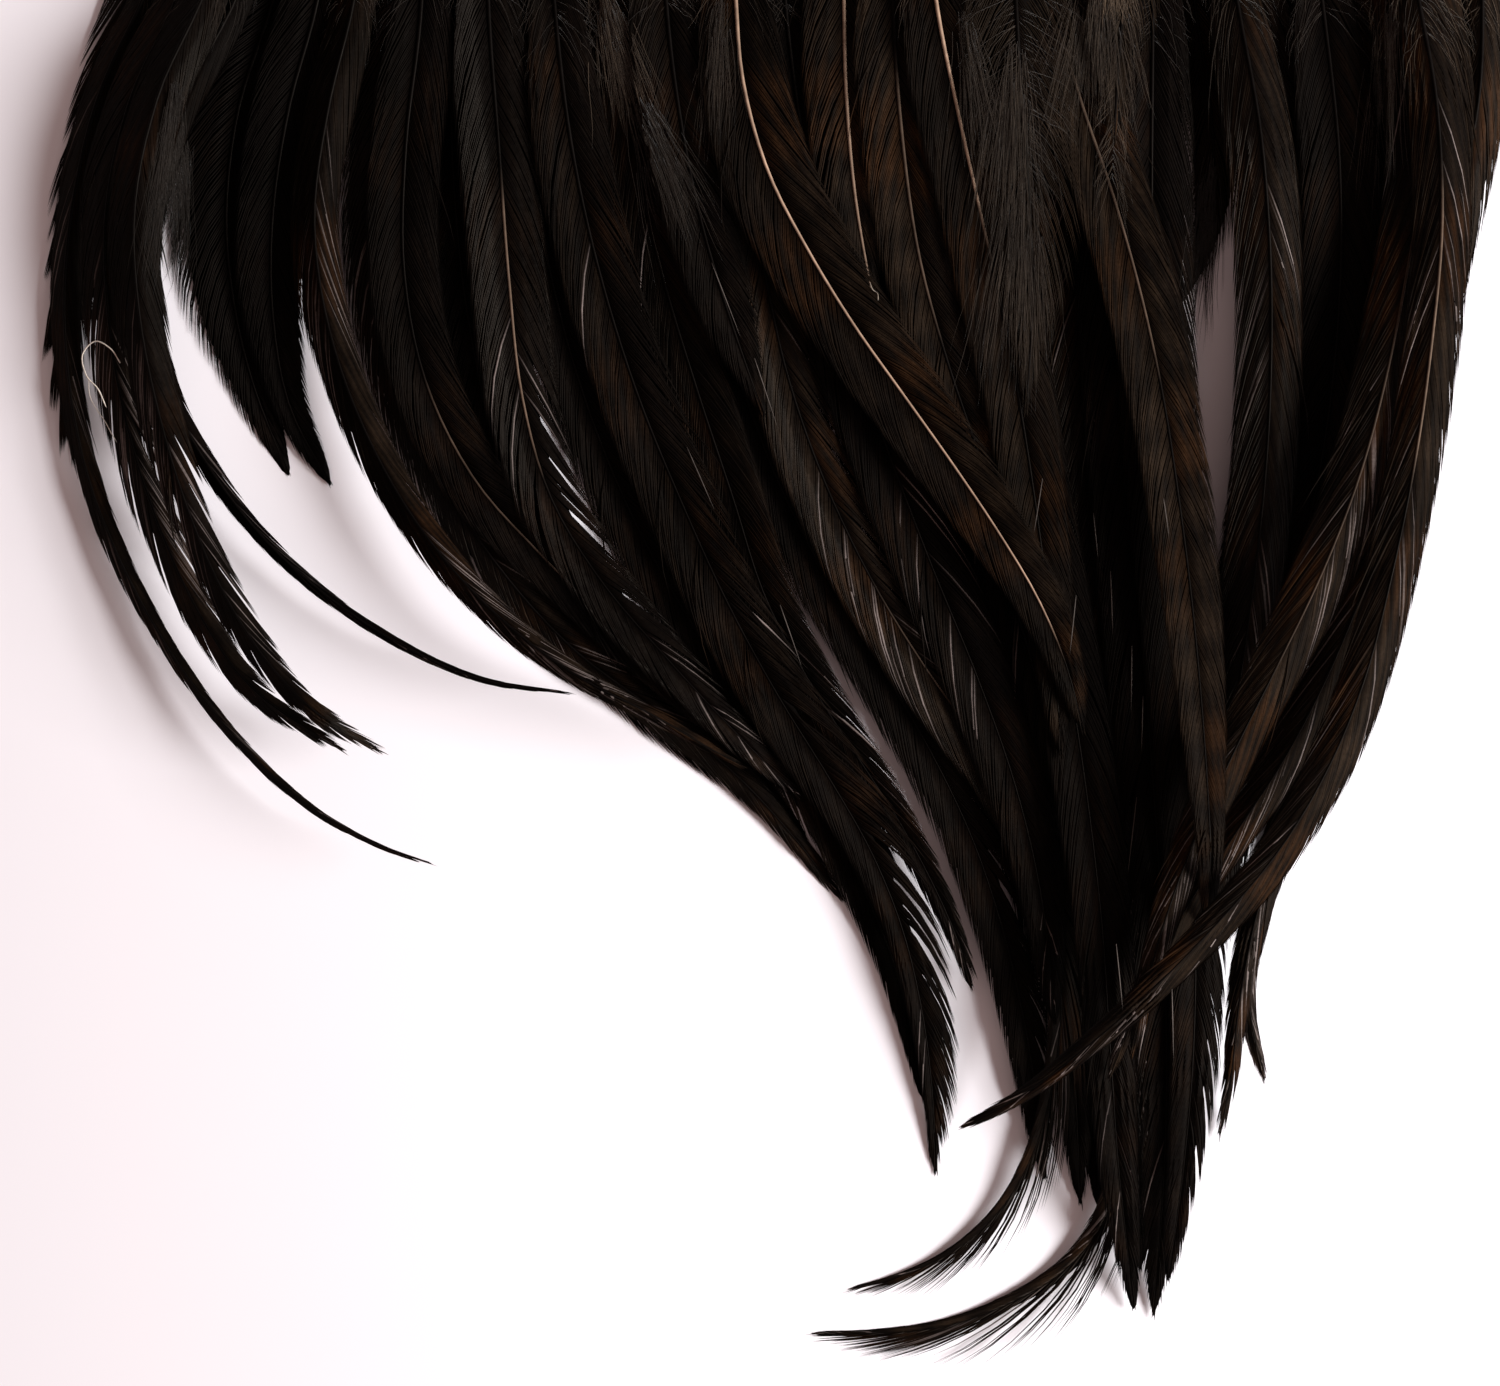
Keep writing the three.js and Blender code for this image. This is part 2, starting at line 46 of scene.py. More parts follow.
# The stitched quills, in millimetres, as in the part.
QUILL_COUNT = 46
STRIP_LENGTH = 158
QUILL_PITCH = STRIP_LENGTH / (QUILL_COUNT - 1)
QUILL_RADIUS = 0.65
QUILL_HEIGHT = 1.5
QUILL_BUTT_Y = 11
QUILL_LEAVES_Y = -1
ROW_SPACING = 7
ROW_OVERHANG = 2.6

# One feather, in millimetres, as in the part.
VANE_START = 16
VANE_OPENS_OVER = 0.14
VANE_FIRST_WIDTH = 0.6  # wider than the solids have it, so that the quills' ends are covered
BARB_LEAD = 6.5
BARB_SWEEP = 1.1
TIP_SLIMNESS = 0.3
TIP_WIDTH = 0.25
LEANS_FROM = 0.5
LEANS_FULLY = 0.8
EDGE_PASSES = 6
SOLID_TIP_RADIUS = 0.16
STEEPEST_FOLD = 60


def feather(place, width, taper, path, wide=(1, 1), fold=0, tilt=0):
    """Where a feather grows and lies, and its vane's shape.

    place   the quill it grows on, counted from the left end of the strip
    width   how far each side of the vane reaches
    taper   how late the vane narrows
    path    the shaft's course in plan, after the quill
    wide    how much wider the left and the right side are towards the tip
    fold    degrees by which both sides hang down
    tilt    degrees by which the left side rises and the right side drops
    """
    return dict(place=place, width=width, taper=taper, path=path, wide=wide, fold=fold, tilt=tilt)


# The feathers, from the one laid first to the one on top, as in the part. Left and right are as seen along
# the feather.
FEATHERS = [
    feather(1, 4.2, 3, wide=(0.7, 1), path=[(-82.5, -20), (-86.2, -31), (-88.8, -42), (-90.4, -53),
        (-90.9, -64), (-90.2, -76)]),
    feather(36, 5.4, 6, path=[(45.3, -20), (47.2, -32), (47.6, -42), (46.3, -50), (43.6, -57)]),
    feather(23, 5.2, 4, path=[(0, -22), (3, -41), (8, -60), (14, -78), (20, -95), (25.5, -112), (29.8, -128),
        (32.3, -143), (33.4, -156), (34, -167)]),
    feather(39, 6, 4, path=[(56.5, -22), (58, -40), (57.8, -57), (56, -73), (53.3, -89), (50.3, -105),
        (47.3, -121), (44.8, -137), (43, -151)]),
    feather(11, 5.6, 4, path=[(-44.5, -24), (-44.2, -42), (-42.5, -58), (-39.5, -72), (-35, -84),
        (-28.5, -95.5), (-19.5, -104.8), (-10, -112.8), (-1, -122)]),
    feather(15, 5.2, 4, path=[(-28.5, -22), (-26.5, -40), (-22.5, -56), (-17, -71), (-11, -85), (-5, -98),
        (1, -110), (6, -121), (10, -131)]),
    feather(29, 5.2, 5, path=[(20, -22), (22.5, -44), (25.5, -66), (28.8, -87), (31.8, -108), (34.8, -128),
        (37.2, -146), (38.4, -160), (38.8, -174)]),
    feather(21, 5.2, 4, path=[(-6.5, -22), (-3.5, -40), (1, -57), (7, -74), (13, -90), (19, -105), (24, -119),
        (28, -133), (30.4, -147), (31.6, -166)]),
    feather(38, 5, 4, path=[(52.5, -22), (55, -40), (56.3, -57), (55.8, -73), (53.8, -89), (51.2, -105),
        (48.6, -120), (46.5, -134)]),
    feather(25, 5.2, 5, path=[(7.5, -22), (10.5, -42), (15, -62), (20.5, -82), (25.8, -101), (30.3, -119),
        (33.8, -136), (35.9, -151), (36.6, -171)]),
    feather(32, 4.8, 4, tilt=6, wide=(1.1, 0.5), path=[(30.3, -22), (30.8, -40), (31.3, -58), (32.3, -76),
        (33.5, -94), (35, -112), (36.3, -129), (37, -145), (36.7, -158.3), (34.2, -167.5), (29.3, -173.5),
        (22.8, -177.4), (15.4, -180.1), (7.3, -181.1), (-1.5, -181.1)]),
    feather(17, 4.4, 6, path=[(-20.5, -22), (-17.3, -38), (-13.5, -53), (-9.5, -66), (-5, -78), (0.5, -89),
        (6.8, -99.5), (13, -110), (18.3, -121), (22, -132), (24.6, -143), (26.2, -153), (27.4, -163)]),
    feather(41, 6.2, 4, path=[(63.5, -22), (64.3, -39), (63.3, -55), (60.5, -70.5), (56.7, -85.5),
        (52.3, -100), (48, -115), (44.3, -130), (41.5, -145)]),
    feather(40, 5, 4, path=[(60.5, -22), (62.2, -39), (62.4, -55), (61, -71), (58.2, -86), (54.6, -101),
        (50.2, -116), (46, -131), (42.8, -147)]),
    feather(2, 3.6, 1, fold=40, path=[(-81, -19), (-86.5, -31), (-89.6, -43), (-90.9, -55), (-90.2, -67),
        (-87.7, -78.6), (-82.9, -90.1), (-76.7, -100.5), (-69.1, -109.9), (-60.9, -117.2), (-52.6, -121.8),
        (-45.6, -124.1)]),
    feather(6, 6.6, 3, wide=(1, 0.6), path=[(-66, -20), (-70.2, -33), (-71.7, -46), (-70.7, -57),
        (-68.4, -66.5), (-64, -77.8)]),
    feather(9, 4.2, 3, fold=12, path=[(-51.5, -22), (-53.5, -38), (-53.6, -52), (-50.8, -65), (-45.5, -77.8),
        (-38.3, -88.9), (-29.7, -98.3), (-20, -105.6), (-10.6, -113), (-3.4, -120.7), (3.2, -129.2)]),
    feather(13, 4.4, 4, path=[(-36.3, -22), (-34.8, -40), (-31.8, -56), (-27.5, -70.5), (-22, -83.5),
        (-15.5, -95), (-8.5, -105.3), (-1.3, -114.8), (4.2, -125), (8.6, -135.2), (11.2, -144.7),
        (12.8, -153.5)]),
    feather(19, 4.6, 3, tilt=-6, wide=(1.2, 0.5), path=[(-13, -22), (-9.5, -37), (-7, -51), (-4, -65),
        (0.5, -78), (6.5, -90.5), (13, -101), (20, -110.8), (25, -120.5), (28, -131), (29, -141),
        (28, -150.8), (25.7, -159), (21.8, -165.9), (16.3, -170.9), (10, -174), (3, -175.9)]),
    feather(37, 4, 4, fold=10, path=[(50, -20), (52.5, -35), (53.8, -50), (54, -64), (53.3, -78), (51.7, -92),
        (49.7, -106), (47.5, -120), (45.7, -134), (44, -149)]),
    feather(33, 5.2, 5, path=[(34, -22), (35, -42), (36.2, -62), (37.5, -82), (38.9, -101), (40.2, -120),
        (41.1, -138), (41.3, -154), (41, -167), (40.3, -179.5)]),
    feather(35, 4.6, 4, path=[(40, -22), (39.8, -42), (40, -62), (41.2, -82), (43, -101), (44.2, -120),
        (44.6, -137), (44, -152), (42.9, -165), (41.8, -175)]),
    feather(45, 3.8, 3, fold=20, wide=(0.8, 1), path=[(77.5, -20), (77.3, -34), (75.6, -48), (72.8, -61),
        (70, -73), (66.9, -86), (64.4, -98), (61, -109.5), (57, -119.5), (53.4, -129.5), (51.9, -140.5),
        (54, -151)]),
    feather(46, 3.8, 3, fold=20, path=[(79.6, -20), (78.9, -33), (76, -46), (72.4, -59), (69.4, -72),
        (66.4, -84.5), (63.8, -96.5), (60.2, -108), (55.8, -119), (52.2, -130), (50.3, -141), (49.6, -149.5),
        (48.1, -157.8)]),
    feather(3, 4, 3, fold=32, path=[(-77, -20), (-82.6, -33), (-85.4, -46), (-85.1, -59.5), (-82.8, -72.3),
        (-78.9, -84.2), (-74, -94.6), (-67.8, -103.1), (-56.3, -110.8)]),
    feather(10, 4.6, 3, path=[(-48, -22), (-49.8, -38), (-50, -53), (-47.3, -66.5), (-41.5, -78),
        (-34, -86.5), (-26.5, -94), (-19, -101.5), (-13, -107), (-8, -111)]),
    feather(22, 5.2, 4, path=[(-4, -22), (-1.5, -40), (2.5, -57), (7.7, -73), (13.3, -88), (19, -102),
        (23.5, -115), (26.5, -128), (28.3, -144)]),
    feather(16, 4.4, 3, tilt=8, path=[(-24.5, -22), (-22.3, -38), (-19, -53), (-14.8, -67), (-10.5, -80),
        (-6.6, -92), (-1.4, -102), (4, -110.5), (9.2, -118.5), (13.8, -127), (16.8, -134), (18.6, -140)]),
    feather(7, 5, 3, wide=(0.8, 0.65), path=[(-60.5, -20), (-64, -33), (-66, -46), (-66, -58), (-64, -69),
        (-58.8, -79)]),
    feather(28, 4.4, 5, path=[(17, -22), (19.5, -40), (22.5, -58), (25.5, -76), (28.5, -94), (31.3, -112),
        (33.3, -129), (34.4, -145), (35.5, -159), (37, -171), (38, -178.5)]),
    feather(5, 3.2, 1, fold=40, path=[(-70, -20), (-76.2, -33), (-80, -46), (-80.3, -57), (-77.6, -68.3),
        (-72.5, -77.5), (-66.1, -85.6), (-59.2, -91.8), (-51.3, -97.1), (-41, -101.8), (-29.3, -103.7)]),
    feather(12, 5.2, 3, tilt=-8, path=[(-39.8, -22), (-38.6, -38), (-37.4, -54), (-35.8, -68), (-32.4, -80),
        (-26.4, -90), (-18.8, -99), (-10.5, -108), (-2, -116.5)]),
    feather(14, 4.8, 5, wide=(1.35, 0.6), path=[(-31.8, -22), (-29.8, -38), (-26.5, -53), (-22, -67.5),
        (-16.5, -81), (-11, -93), (-5, -104), (1.2, -114), (6.3, -123), (9.9, -132), (12.3, -142),
        (13.6, -152), (14.1, -162.5)]),
    feather(44, 3.9, 3, fold=14, path=[(74, -20), (74.6, -34), (73.3, -48), (71.2, -62), (68.8, -76),
        (65.3, -89), (60.5, -101), (55, -111.5), (49, -120.5), (43, -129.5), (38, -139), (34, -150)]),
    feather(42, 4.4, 3, fold=14, path=[(68.8, -19), (71, -31), (71.2, -43), (69.3, -55), (66.8, -67),
        (63.6, -78.5), (59.3, -89.5), (54.2, -100), (48.6, -111), (43.4, -122.5), (39.2, -134.5),
        (36.5, -147)]),
    feather(4, 3.8, 3, fold=28, path=[(-73.5, -20), (-78.8, -33), (-81.5, -46), (-80.9, -59), (-78.3, -71.7),
        (-74.9, -82.5), (-70.7, -92), (-65.5, -100), (-59.4, -106.2), (-51.8, -111)]),
    feather(24, 5.4, 3, path=[(2.8, -18), (3.1, -31), (4.2, -44), (6.8, -59)]),
    feather(26, 5.2, 3, path=[(8.8, -22), (9.8, -37), (11.8, -51), (15, -63), (18.7, -74), (22.8, -86)]),
    feather(27, 5.2, 3, path=[(13.7, -20), (16.2, -33), (19, -45.5), (21.8, -58), (24.2, -71), (26.2, -84.5),
        (27.8, -98), (28.8, -112)]),
    feather(31, 4.8, 3, tilt=-5, path=[(28, -20), (31, -32), (35, -44), (38.3, -56), (40.8, -68),
        (42.6, -80.5), (44, -93), (45, -106), (45.6, -119), (45.8, -132)]),
    feather(8, 3.4, 2, fold=22, path=[(-56, -20), (-59, -33), (-60.7, -45), (-60.1, -54), (-57.7, -64),
        (-53.9, -73.4), (-48.9, -82.2), (-42.8, -90), (-35.7, -96.7), (-28.1, -102), (-20.3, -106),
        (-14.2, -109.6), (-8.5, -112.8)]),
    feather(18, 5, 3, path=[(-18.5, -20), (-17, -33), (-14.5, -46), (-11, -58), (-6.5, -71)]),
    feather(43, 3.6, 3, fold=12, path=[(71, -20), (73, -34), (73.5, -48), (72.2, -62), (70.2, -76),
        (67.5, -89), (64.2, -101.5), (59.6, -112.5), (53.4, -122.5), (45.5, -131.5), (37.5, -139.5),
        (29.5, -147), (22.8, -152.5), (16.5, -156.2)]),
    feather(20, 5.6, 3, path=[(-10.3, -18), (-9.3, -30), (-6.3, -41), (-1.5, -50.5), (4, -59.5), (10, -68),
        (16, -76.5), (21.5, -84.8), (26, -92.5), (29.3, -100.5), (31.5, -109)]),
    feather(30, 7, 4, path=[(23.3, -20), (24, -33), (25, -46), (25.3, -58), (24.5, -71)]),
    feather(34, 4.6, 4, path=[(36.5, -18), (35.7, -28), (35, -39)]),
]

# How a feather looks, where nothing else is said.
#   comb    how far the barbs of each side part into separate locks, 0 to 1
#   lock    length of shaft that one lock's barbs grow from
#   sweep   how much further forward than usual the barbs run
#   thin    how sparse and fine the barbs of each side are towards the tip, 0 to 1
#   stiff   how far barbs stand out from the outer side of a bend, 0 to 1
#   brown   how brown the barbs are, 0 to 1
#   gleam   share of the barbs with a painted highlight along their middle, where they catch the light
#   gloss   whether the barbs are glossy
#   soft    whether they are hair-like
#   down    share of the vane that is downy, from its start
#   pale    how pale the shaft is and from where to where along it: partly tan, partly painted highlight
#   long    how much longer the barbs of the left and the right side's thin stretch are
#   fuller  how much further than the solid each side reaches
#   opens   share of the vane from which its barbs begin to part, and over which they do
PLAIN_LOOK = dict(
    comb=(0.06, 0.06), lock=4.5, sweep=1.45, thin=(0, 0), stiff=0.15, brown=0.18, gleam=0,
    gloss=False, soft=False, down=0.1, pale=(0, 0, 1), long=(1, 1), fuller=(1, 1),
    opens=(0.12, 0.5),
)
# What differs from that, by the feather's place.
LOOKS = {
    1: dict(comb=(0.4, 1.0), lock=8, sweep=1.7, opens=(0, 0.3), gloss=True, brown=0.5, gleam=0.03),
    2: dict(comb=(0.5, 0.6), lock=5, sweep=1.6, gloss=True, brown=0.6, gleam=0.08),
    3: dict(comb=(0.6, 0.6), lock=5, sweep=1.7, gloss=True, brown=0.7, gleam=0.13),
    4: dict(comb=(0.7, 0.6), lock=5, sweep=1.7, gloss=True, brown=0.5, gleam=0.13),
    5: dict(comb=(0.5, 0.5), lock=4, sweep=1.7, brown=0.1, gleam=0.07),
    6: dict(comb=(0.05, 0.03), lock=5, brown=0.06, fuller=(1, 1.15)),
    7: dict(comb=(0.03, 0.05), lock=5, brown=0.06),
    8: dict(comb=(0.35, 0.3), lock=5, sweep=1.8, brown=0.8, gleam=0.14),
    9: dict(comb=(0.3, 0.4), lock=5, sweep=1.3, gloss=True, brown=0.5, gleam=0.04),
    10: dict(comb=(0.1, 0.1), pale=(0.14, 84, 104)),
    12: dict(comb=(0.75, 0.6), lock=2, gloss=True, gleam=0.03, pale=(0.35, 60, 82)),
    13: dict(comb=(0.15, 0.1)),
    14: dict(comb=(0.9, 0.05), lock=2.1, brown=0.35, gleam=0.01),
    15: dict(comb=(0.5, 0.1)),
    16: dict(comb=(0.9, 0.2), lock=2.4, gleam=0.015, brown=0.4, opens=(0.5, 0.5)),
    17: dict(comb=(0.7, 0.05), lock=3),
    18: dict(down=0.2, brown=0.4),
    19: dict(comb=(0.9, 0.06), lock=2.4, thin=(1, 0), stiff=0.45, gloss=True, brown=0.8,
             pale=(0.12, 112, 150), long=(2.1, 1), gleam=0.05),
    20: dict(comb=(0.05, 0.05), brown=0.8, pale=(1, 0, 113)),
    21: dict(comb=(0.4, 0.1)),
    22: dict(gleam=0.02, sweep=1.7),
    24: dict(comb=(0.2, 0.2), brown=0.8, pale=(0.5, 0, 80)),
    25: dict(comb=(0.25, 0.15), gleam=0.015, sweep=1.7),
    26: dict(brown=1.0, pale=(0.16, 46, 66)),
    27: dict(brown=0.8, pale=(1, 0, 56)),
    28: dict(comb=(0.15, 0.3), lock=3, gleam=0.015, sweep=1.7),
    29: dict(gleam=0.02, sweep=1.7),
    30: dict(comb=(0.7, 0.7), lock=2.4, soft=True, down=0.5, brown=0.4),
    31: dict(brown=0.8, pale=(0.22, 44, 72)),
    32: dict(comb=(0.9, 0.06), lock=2.4, thin=(1, 0), stiff=0.45, gloss=True, brown=0.8,
             long=(2.1, 1), gleam=0.08),
    33: dict(comb=(0.3, 0.3), lock=3, gleam=0.01, sweep=1.7),
    34: dict(comb=(0.5, 0.5), lock=2.4, soft=True, down=0.9, brown=1.0),
    35: dict(comb=(0.4, 0.2), sweep=1.6, opens=(0.5, 0.3), fuller=(1.15, 1)),
    36: dict(comb=(0.5, 0.5), lock=3, brown=1.5, soft=True),
    37: dict(sweep=1.9, gleam=0.05, gloss=True, brown=0.5, fuller=(1, 1.15)),
    38: dict(sweep=1.9, gleam=0.03, gloss=True, brown=0.5),
    39: dict(comb=(0.5, 0.2), lock=3.4, sweep=1.2, brown=0.4, gleam=0.02),
    41: dict(brown=0.5),
    42: dict(comb=(0.06, 0.06), sweep=1.9, brown=1.3, gleam=0.1, pale=(0.1, 40, 110)),
    43: dict(comb=(0.05, 0.06), sweep=1.9, brown=1.0, gleam=0.04, pale=(0.28, 60, 84)),
    44: dict(comb=(0.05, 0.06), sweep=1.9, brown=1.3, gleam=0.09),
    45: dict(comb=(0.5, 0.2), lock=4, sweep=1.9, gloss=True, brown=1.3, gleam=0.1, opens=(0.6, 0.3)),
    46: dict(comb=(0.8, 0.6), lock=4, sweep=1.9, gloss=True, brown=1.3, gleam=0.12, opens=(0.6, 0.3)),
}

# Colours.
BARB_BLACK = (0.0017, 0.0013, 0.0012)
BARB_BROWN = (0.0112, 0.0068, 0.0042)
BARB_RUST = (0.020, 0.0078, 0.0028)
# A painted highlight, laid along the middle of some barbs.
PAINTED_BARB_GLEAM = (0.15, 0.118, 0.108)
SHAFT_DARK = (0.0022, 0.0017, 0.0016)
# Partly a shaft's own tan, partly a painted highlight.
SHAFT_TAN_AND_HIGHLIGHT = (0.27, 0.178, 0.125)
QUILL_HORN = (0.30, 0.22, 0.13)
DOWN_DARK = (0.010, 0.0075, 0.006)
DOWN_TAN = (0.085, 0.058, 0.038)
WISP_PALE = (0.52, 0.45, 0.38)
THREAD_BLACK = (0.018, 0.017, 0.018)

# Tufts of loose down that lie on the pile: the place of the feather they grow on, where they are rooted
# and where they end, how far they spread there, how many fibres there are and how pale these are.
TUFTS = [
    (6, (-76.5, -31), (-78.6, -53.5), 2.4, 380, 0),
    (18, (-26.5, -18), (-22, -36), 4.0, 200, 0.5),
    (18, (-22, -32), (-15, -50), 5.0, 110, 0.12),
    (20, (-12, -20), (-13, -38), 2.6, 90, 0.18),
    (27, (17, -22), (20, -42), 3.0, 80, 0.2),
    (30, (23, -26), (22, -52), 5.0, 150, 0.22),
    (30, (24, -42), (23, -68), 6.0, 130, 0.18),
    (34, (33, -17), (32, -37), 7.0, 170, 0.26),
    (34, (35, -17), (35.5, -24), 2.6, 120, 1.0),
    (37, (47.4, -38), (45.7, -60), 2.6, 100, 0.08),
    (43, (68, -20), (67, -44), 3.0, 90, 0.2),
]
# Single pale fibres: the feather's place, their course, their thickness and how pale they are.
WISPS = [
    (3, [(-83.6, -64.2), (-84.6, -62.6), (-86.6, -61.6), (-88.2, -63.2), (-87.6, -65.8), (-86.2, -67.3),
        (-85.2, -69.6)], 0.16, 1),
    (3, [(-87.6, -65.8), (-87.3, -68.5), (-85.5, -71.4), (-84.2, -73.6)], 0.09, 1),
    (24, [(5.9, -54.6), (6.2, -55.3), (6.8, -55.8), (6.9, -56.8)], 0.13, 0.25),
]

# Single barbs tinted pale as painted highlights, where barbs catch the light: the feather's place, and where
# they begin and end.
GLINTS = [
    (27, (30.4, -92), (29.6, -99.5)),
    (28, (34.8, -89), (35.1, -97)),
    (28, (37.3, -98), (37.2, -106.5)),
    (31, (40.7, -80.5), (41.4, -85.5)),
    (27, (26.5, -78), (25.4, -85)),
    (33, (37.7, -116), (36.6, -125.5)),
    (33, (38.6, -104), (38.4, -111)),
    (28, (32.8, -82), (33.4, -88)),
    (29, (34.5, -133), (35.3, -141)),
    (33, (41, -138), (41.2, -147)),
    (16, (-4.8, -93), (-2, -101)),
    (18, (-13, -52), (-9.5, -61)),
    (18, (-8, -63), (-5, -72)),
    (15, (-16, -74), (-12.5, -82)),
]
GLINT_WIDTH = 0.12
GLINT_RISE = 0.1
# The glints' pale tint is a painted highlight.
GLINT_PAINTED_HIGHLIGHT = (0.075, 0.062, 0.055)

# How a shaft's course is worked out.
CURVE_STEP = 0.5
HEADING_POINTS = 8  # points of the curve that give its heading at the tip
HEIGHT_WINDOW = 17  # steps over which the solid's height is evened out
SOLID_READ_UNTIL = 1  # this far before the tip
QUILL_LEVEL_UNTIL = 12
RAY_START = 100

# The materials of a feather's mesh, in their order.
BARBS, SHAFT, DOWN, GLOSSY_BARBS = range(4)

WAVE_STARTS = (0, 6.28)  # a random start of a wave lies between these


def smooth(t):
    t = np.clip(t, 0, 1)
    return t * t * (3 - 2 * t)


def mix(a, b, t):
    return a + (b - a) * t


def blend_colours(a, b, shares):
    """Colours between a and b, one for each share."""
    return mix(np.array(a), np.array(b), np.clip(shares, 0, 1)[..., None])


def look_of(row):
    return {**PLAIN_LOOK, **LOOKS.get(row["place"], {})}


def node_of(row):
    return f"feather_{row['place']:02d}"


class Pieces:
    """Gathers closed shapes, each with a material and a colour, and makes one mesh of them."""

    def __init__(self):
        self.points, self.colours, self.faces, self.materials = [], [], [], []
        self.count = 0

    def add(self, points, colours, faces, material):
        """points and colours are n by 3; faces is a list of arrays, one face to a row."""
        self.points.append(points)
        self.colours.append(colours)
        for block in faces:
            self.faces.append(block + self.count)
            self.materials.append(np.full(len(block), material))
        self.count += len(points)

    def mesh(self, name, materials):
        mesh = bpy.data.meshes.new(name)
        points = np.concatenate(self.points) * MM
        sizes = np.concatenate([np.full(len(block), block.shape[1]) for block in self.faces])
        corners = np.concatenate([block.ravel() for block in self.faces])
        mesh.vertices.add(len(points))
        mesh.vertices.foreach_set("co", points.ravel())
        mesh.loops.add(len(corners))
        mesh.loops.foreach_set("vertex_index", corners.astype(np.int32))
        mesh.polygons.add(len(sizes))
        starts = np.concatenate([[0], np.cumsum(sizes)[:-1]])
        mesh.polygons.foreach_set("loop_start", starts.astype(np.int32))
        for material in materials:
            mesh.materials.append(material)
        mesh.polygons.foreach_set("material_index", np.concatenate(self.materials).astype(np.int32))
        mesh.update(calc_edges=True)
        tint = mesh.attributes.new("tint", "FLOAT_COLOR", "POINT")
        rgba = np.ones((len(points), 4))
        rgba[:, :3] = np.concatenate(self.colours)
        tint.data.foreach_set("color", rgba.ravel())
        mesh.shade_smooth()
        mesh.validate()
        return mesh


def catmull_rom(points, per_span=40):
    """The centripetal curve through some points."""
    points = np.array(points, float)
    points = np.vstack([2 * points[0] - points[1], points, 2 * points[-1] - points[-2]])
    made = []
    for p0, p1, p2, p3 in zip(points, points[1:], points[2:], points[3:]):
        d0, d1, d2 = [math.sqrt(np.linalg.norm(b - a)) for a, b in ((p0, p1), (p1, p2), (p2, p3))]
        m1 = ((p1 - p0) / d0 - (p2 - p0) / (d0 + d1) + (p2 - p1) / d1) * d1
        m2 = ((p2 - p1) / d1 - (p3 - p1) / (d1 + d2) + (p3 - p2) / d2) * d1
        t = np.linspace(0, 1, per_span, endpoint=False)[:, None]
        cubic = (-3 * p1 + 3 * p2 - 2 * m1 - m2) * t**2 + (2 * p1 - 2 * p2 + m1 + m2) * t**3
        made.append(p1 + m1 * t + cubic)
    made.append(points[-2][None])
    return np.concatenate(made)


def solid_tree(nodes):
    """A search tree over the faces of some of the part's solids."""
    corners, faces = [], []
    for node in nodes:
        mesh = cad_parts[node].data
        faces += [[index + len(corners) for index in face.vertices] for face in mesh.polygons]
        corners += [vertex.co.copy() for vertex in mesh.vertices]
    return BVHTree.FromPolygons(corners, faces)


def top_height(tree, x, y):
    """Height of the solids' top at a place, or None beside them."""
    hit = tree.ray_cast(Vector((x * MM, y * MM, RAY_START * MM)), Vector((0, 0, -1)))[0]
    return None if hit is None else hit.z / MM


class Shaft:
    """A feather's shaft: where it runs, read in plan from its path and in height from its solid."""

    BEYOND = 16  # the line is carried on past the tip, for barbs that reach past it

    def __init__(self, row):
        x = (row["place"] - 1) * QUILL_PITCH - STRIP_LENGTH / 2
        dense = catmull_rom([(x, QUILL_BUTT_Y), (x, QUILL_LEAVES_Y), *row["path"]])
        along = np.concatenate([[0], np.cumsum(np.linalg.norm(np.diff(dense, axis=0), axis=1))])
        self.length = along[-1]
        self.at = np.arange(0, self.length + self.BEYOND, CURVE_STEP)
        inside = np.minimum(self.at, self.length)
        self.plan = np.column_stack([np.interp(inside, along, dense[:, k]) for k in (0, 1)])
        last = dense[-1] - dense[-HEADING_POINTS]
        last /= np.linalg.norm(last)
        self.plan += np.maximum(self.at - self.length, 0)[:, None] * last
        heading = np.gradient(self.plan, axis=0)
        heading /= np.linalg.norm(heading, axis=1)[:, None]
        self.left = np.column_stack([-heading[:, 1], heading[:, 0]])
        self.height = self.read_heights(node_of(row))

    def read_heights(self, node):
        tree = solid_tree([node])
        found_at, found = [], []
        for at, (x, y) in zip(self.at, self.plan):
            top = top_height(tree, x, y) if at < self.length - SOLID_READ_UNTIL else None
            if top is not None:
                found_at.append(at)
                found.append(top - mix(QUILL_RADIUS, SOLID_TIP_RADIUS, at / self.length))
        heights = np.interp(self.at, found_at, found)
        window = np.hanning(HEIGHT_WINDOW)
        padded = np.pad(heights, len(window) // 2, mode="edge")
        smoothed = np.convolve(padded, window / window.sum(), mode="valid")
        return np.where(self.at < QUILL_LEVEL_UNTIL, QUILL_HEIGHT, smoothed)

    def along(self, at, values):
        """The plan or the left side at some distances."""
        return np.stack([np.interp(at, self.at, values[:, k]) for k in (0, 1)], axis=-1)

    def straight_points(self, starts, forward, aside):
        """Points in plan that keep the shaft's heading at their starts."""
        left = self.along(starts, self.left)[:, None]
        ahead = np.stack([left[..., 1], -left[..., 0]], axis=-1)
        foot = self.along(starts, self.plan)[:, None]
        return foot + ahead * forward[..., None] + left * aside[..., None]

    def points(self, at, aside, above):
        """Points at distances along the shaft, to the left of it and above it."""
        plan = self.along(at, self.plan) + np.asarray(aside)[..., None] * self.along(at, self.left)
        z = np.interp(at, self.at, self.height) + above
        return np.concatenate([plan, z[..., None]], axis=-1)


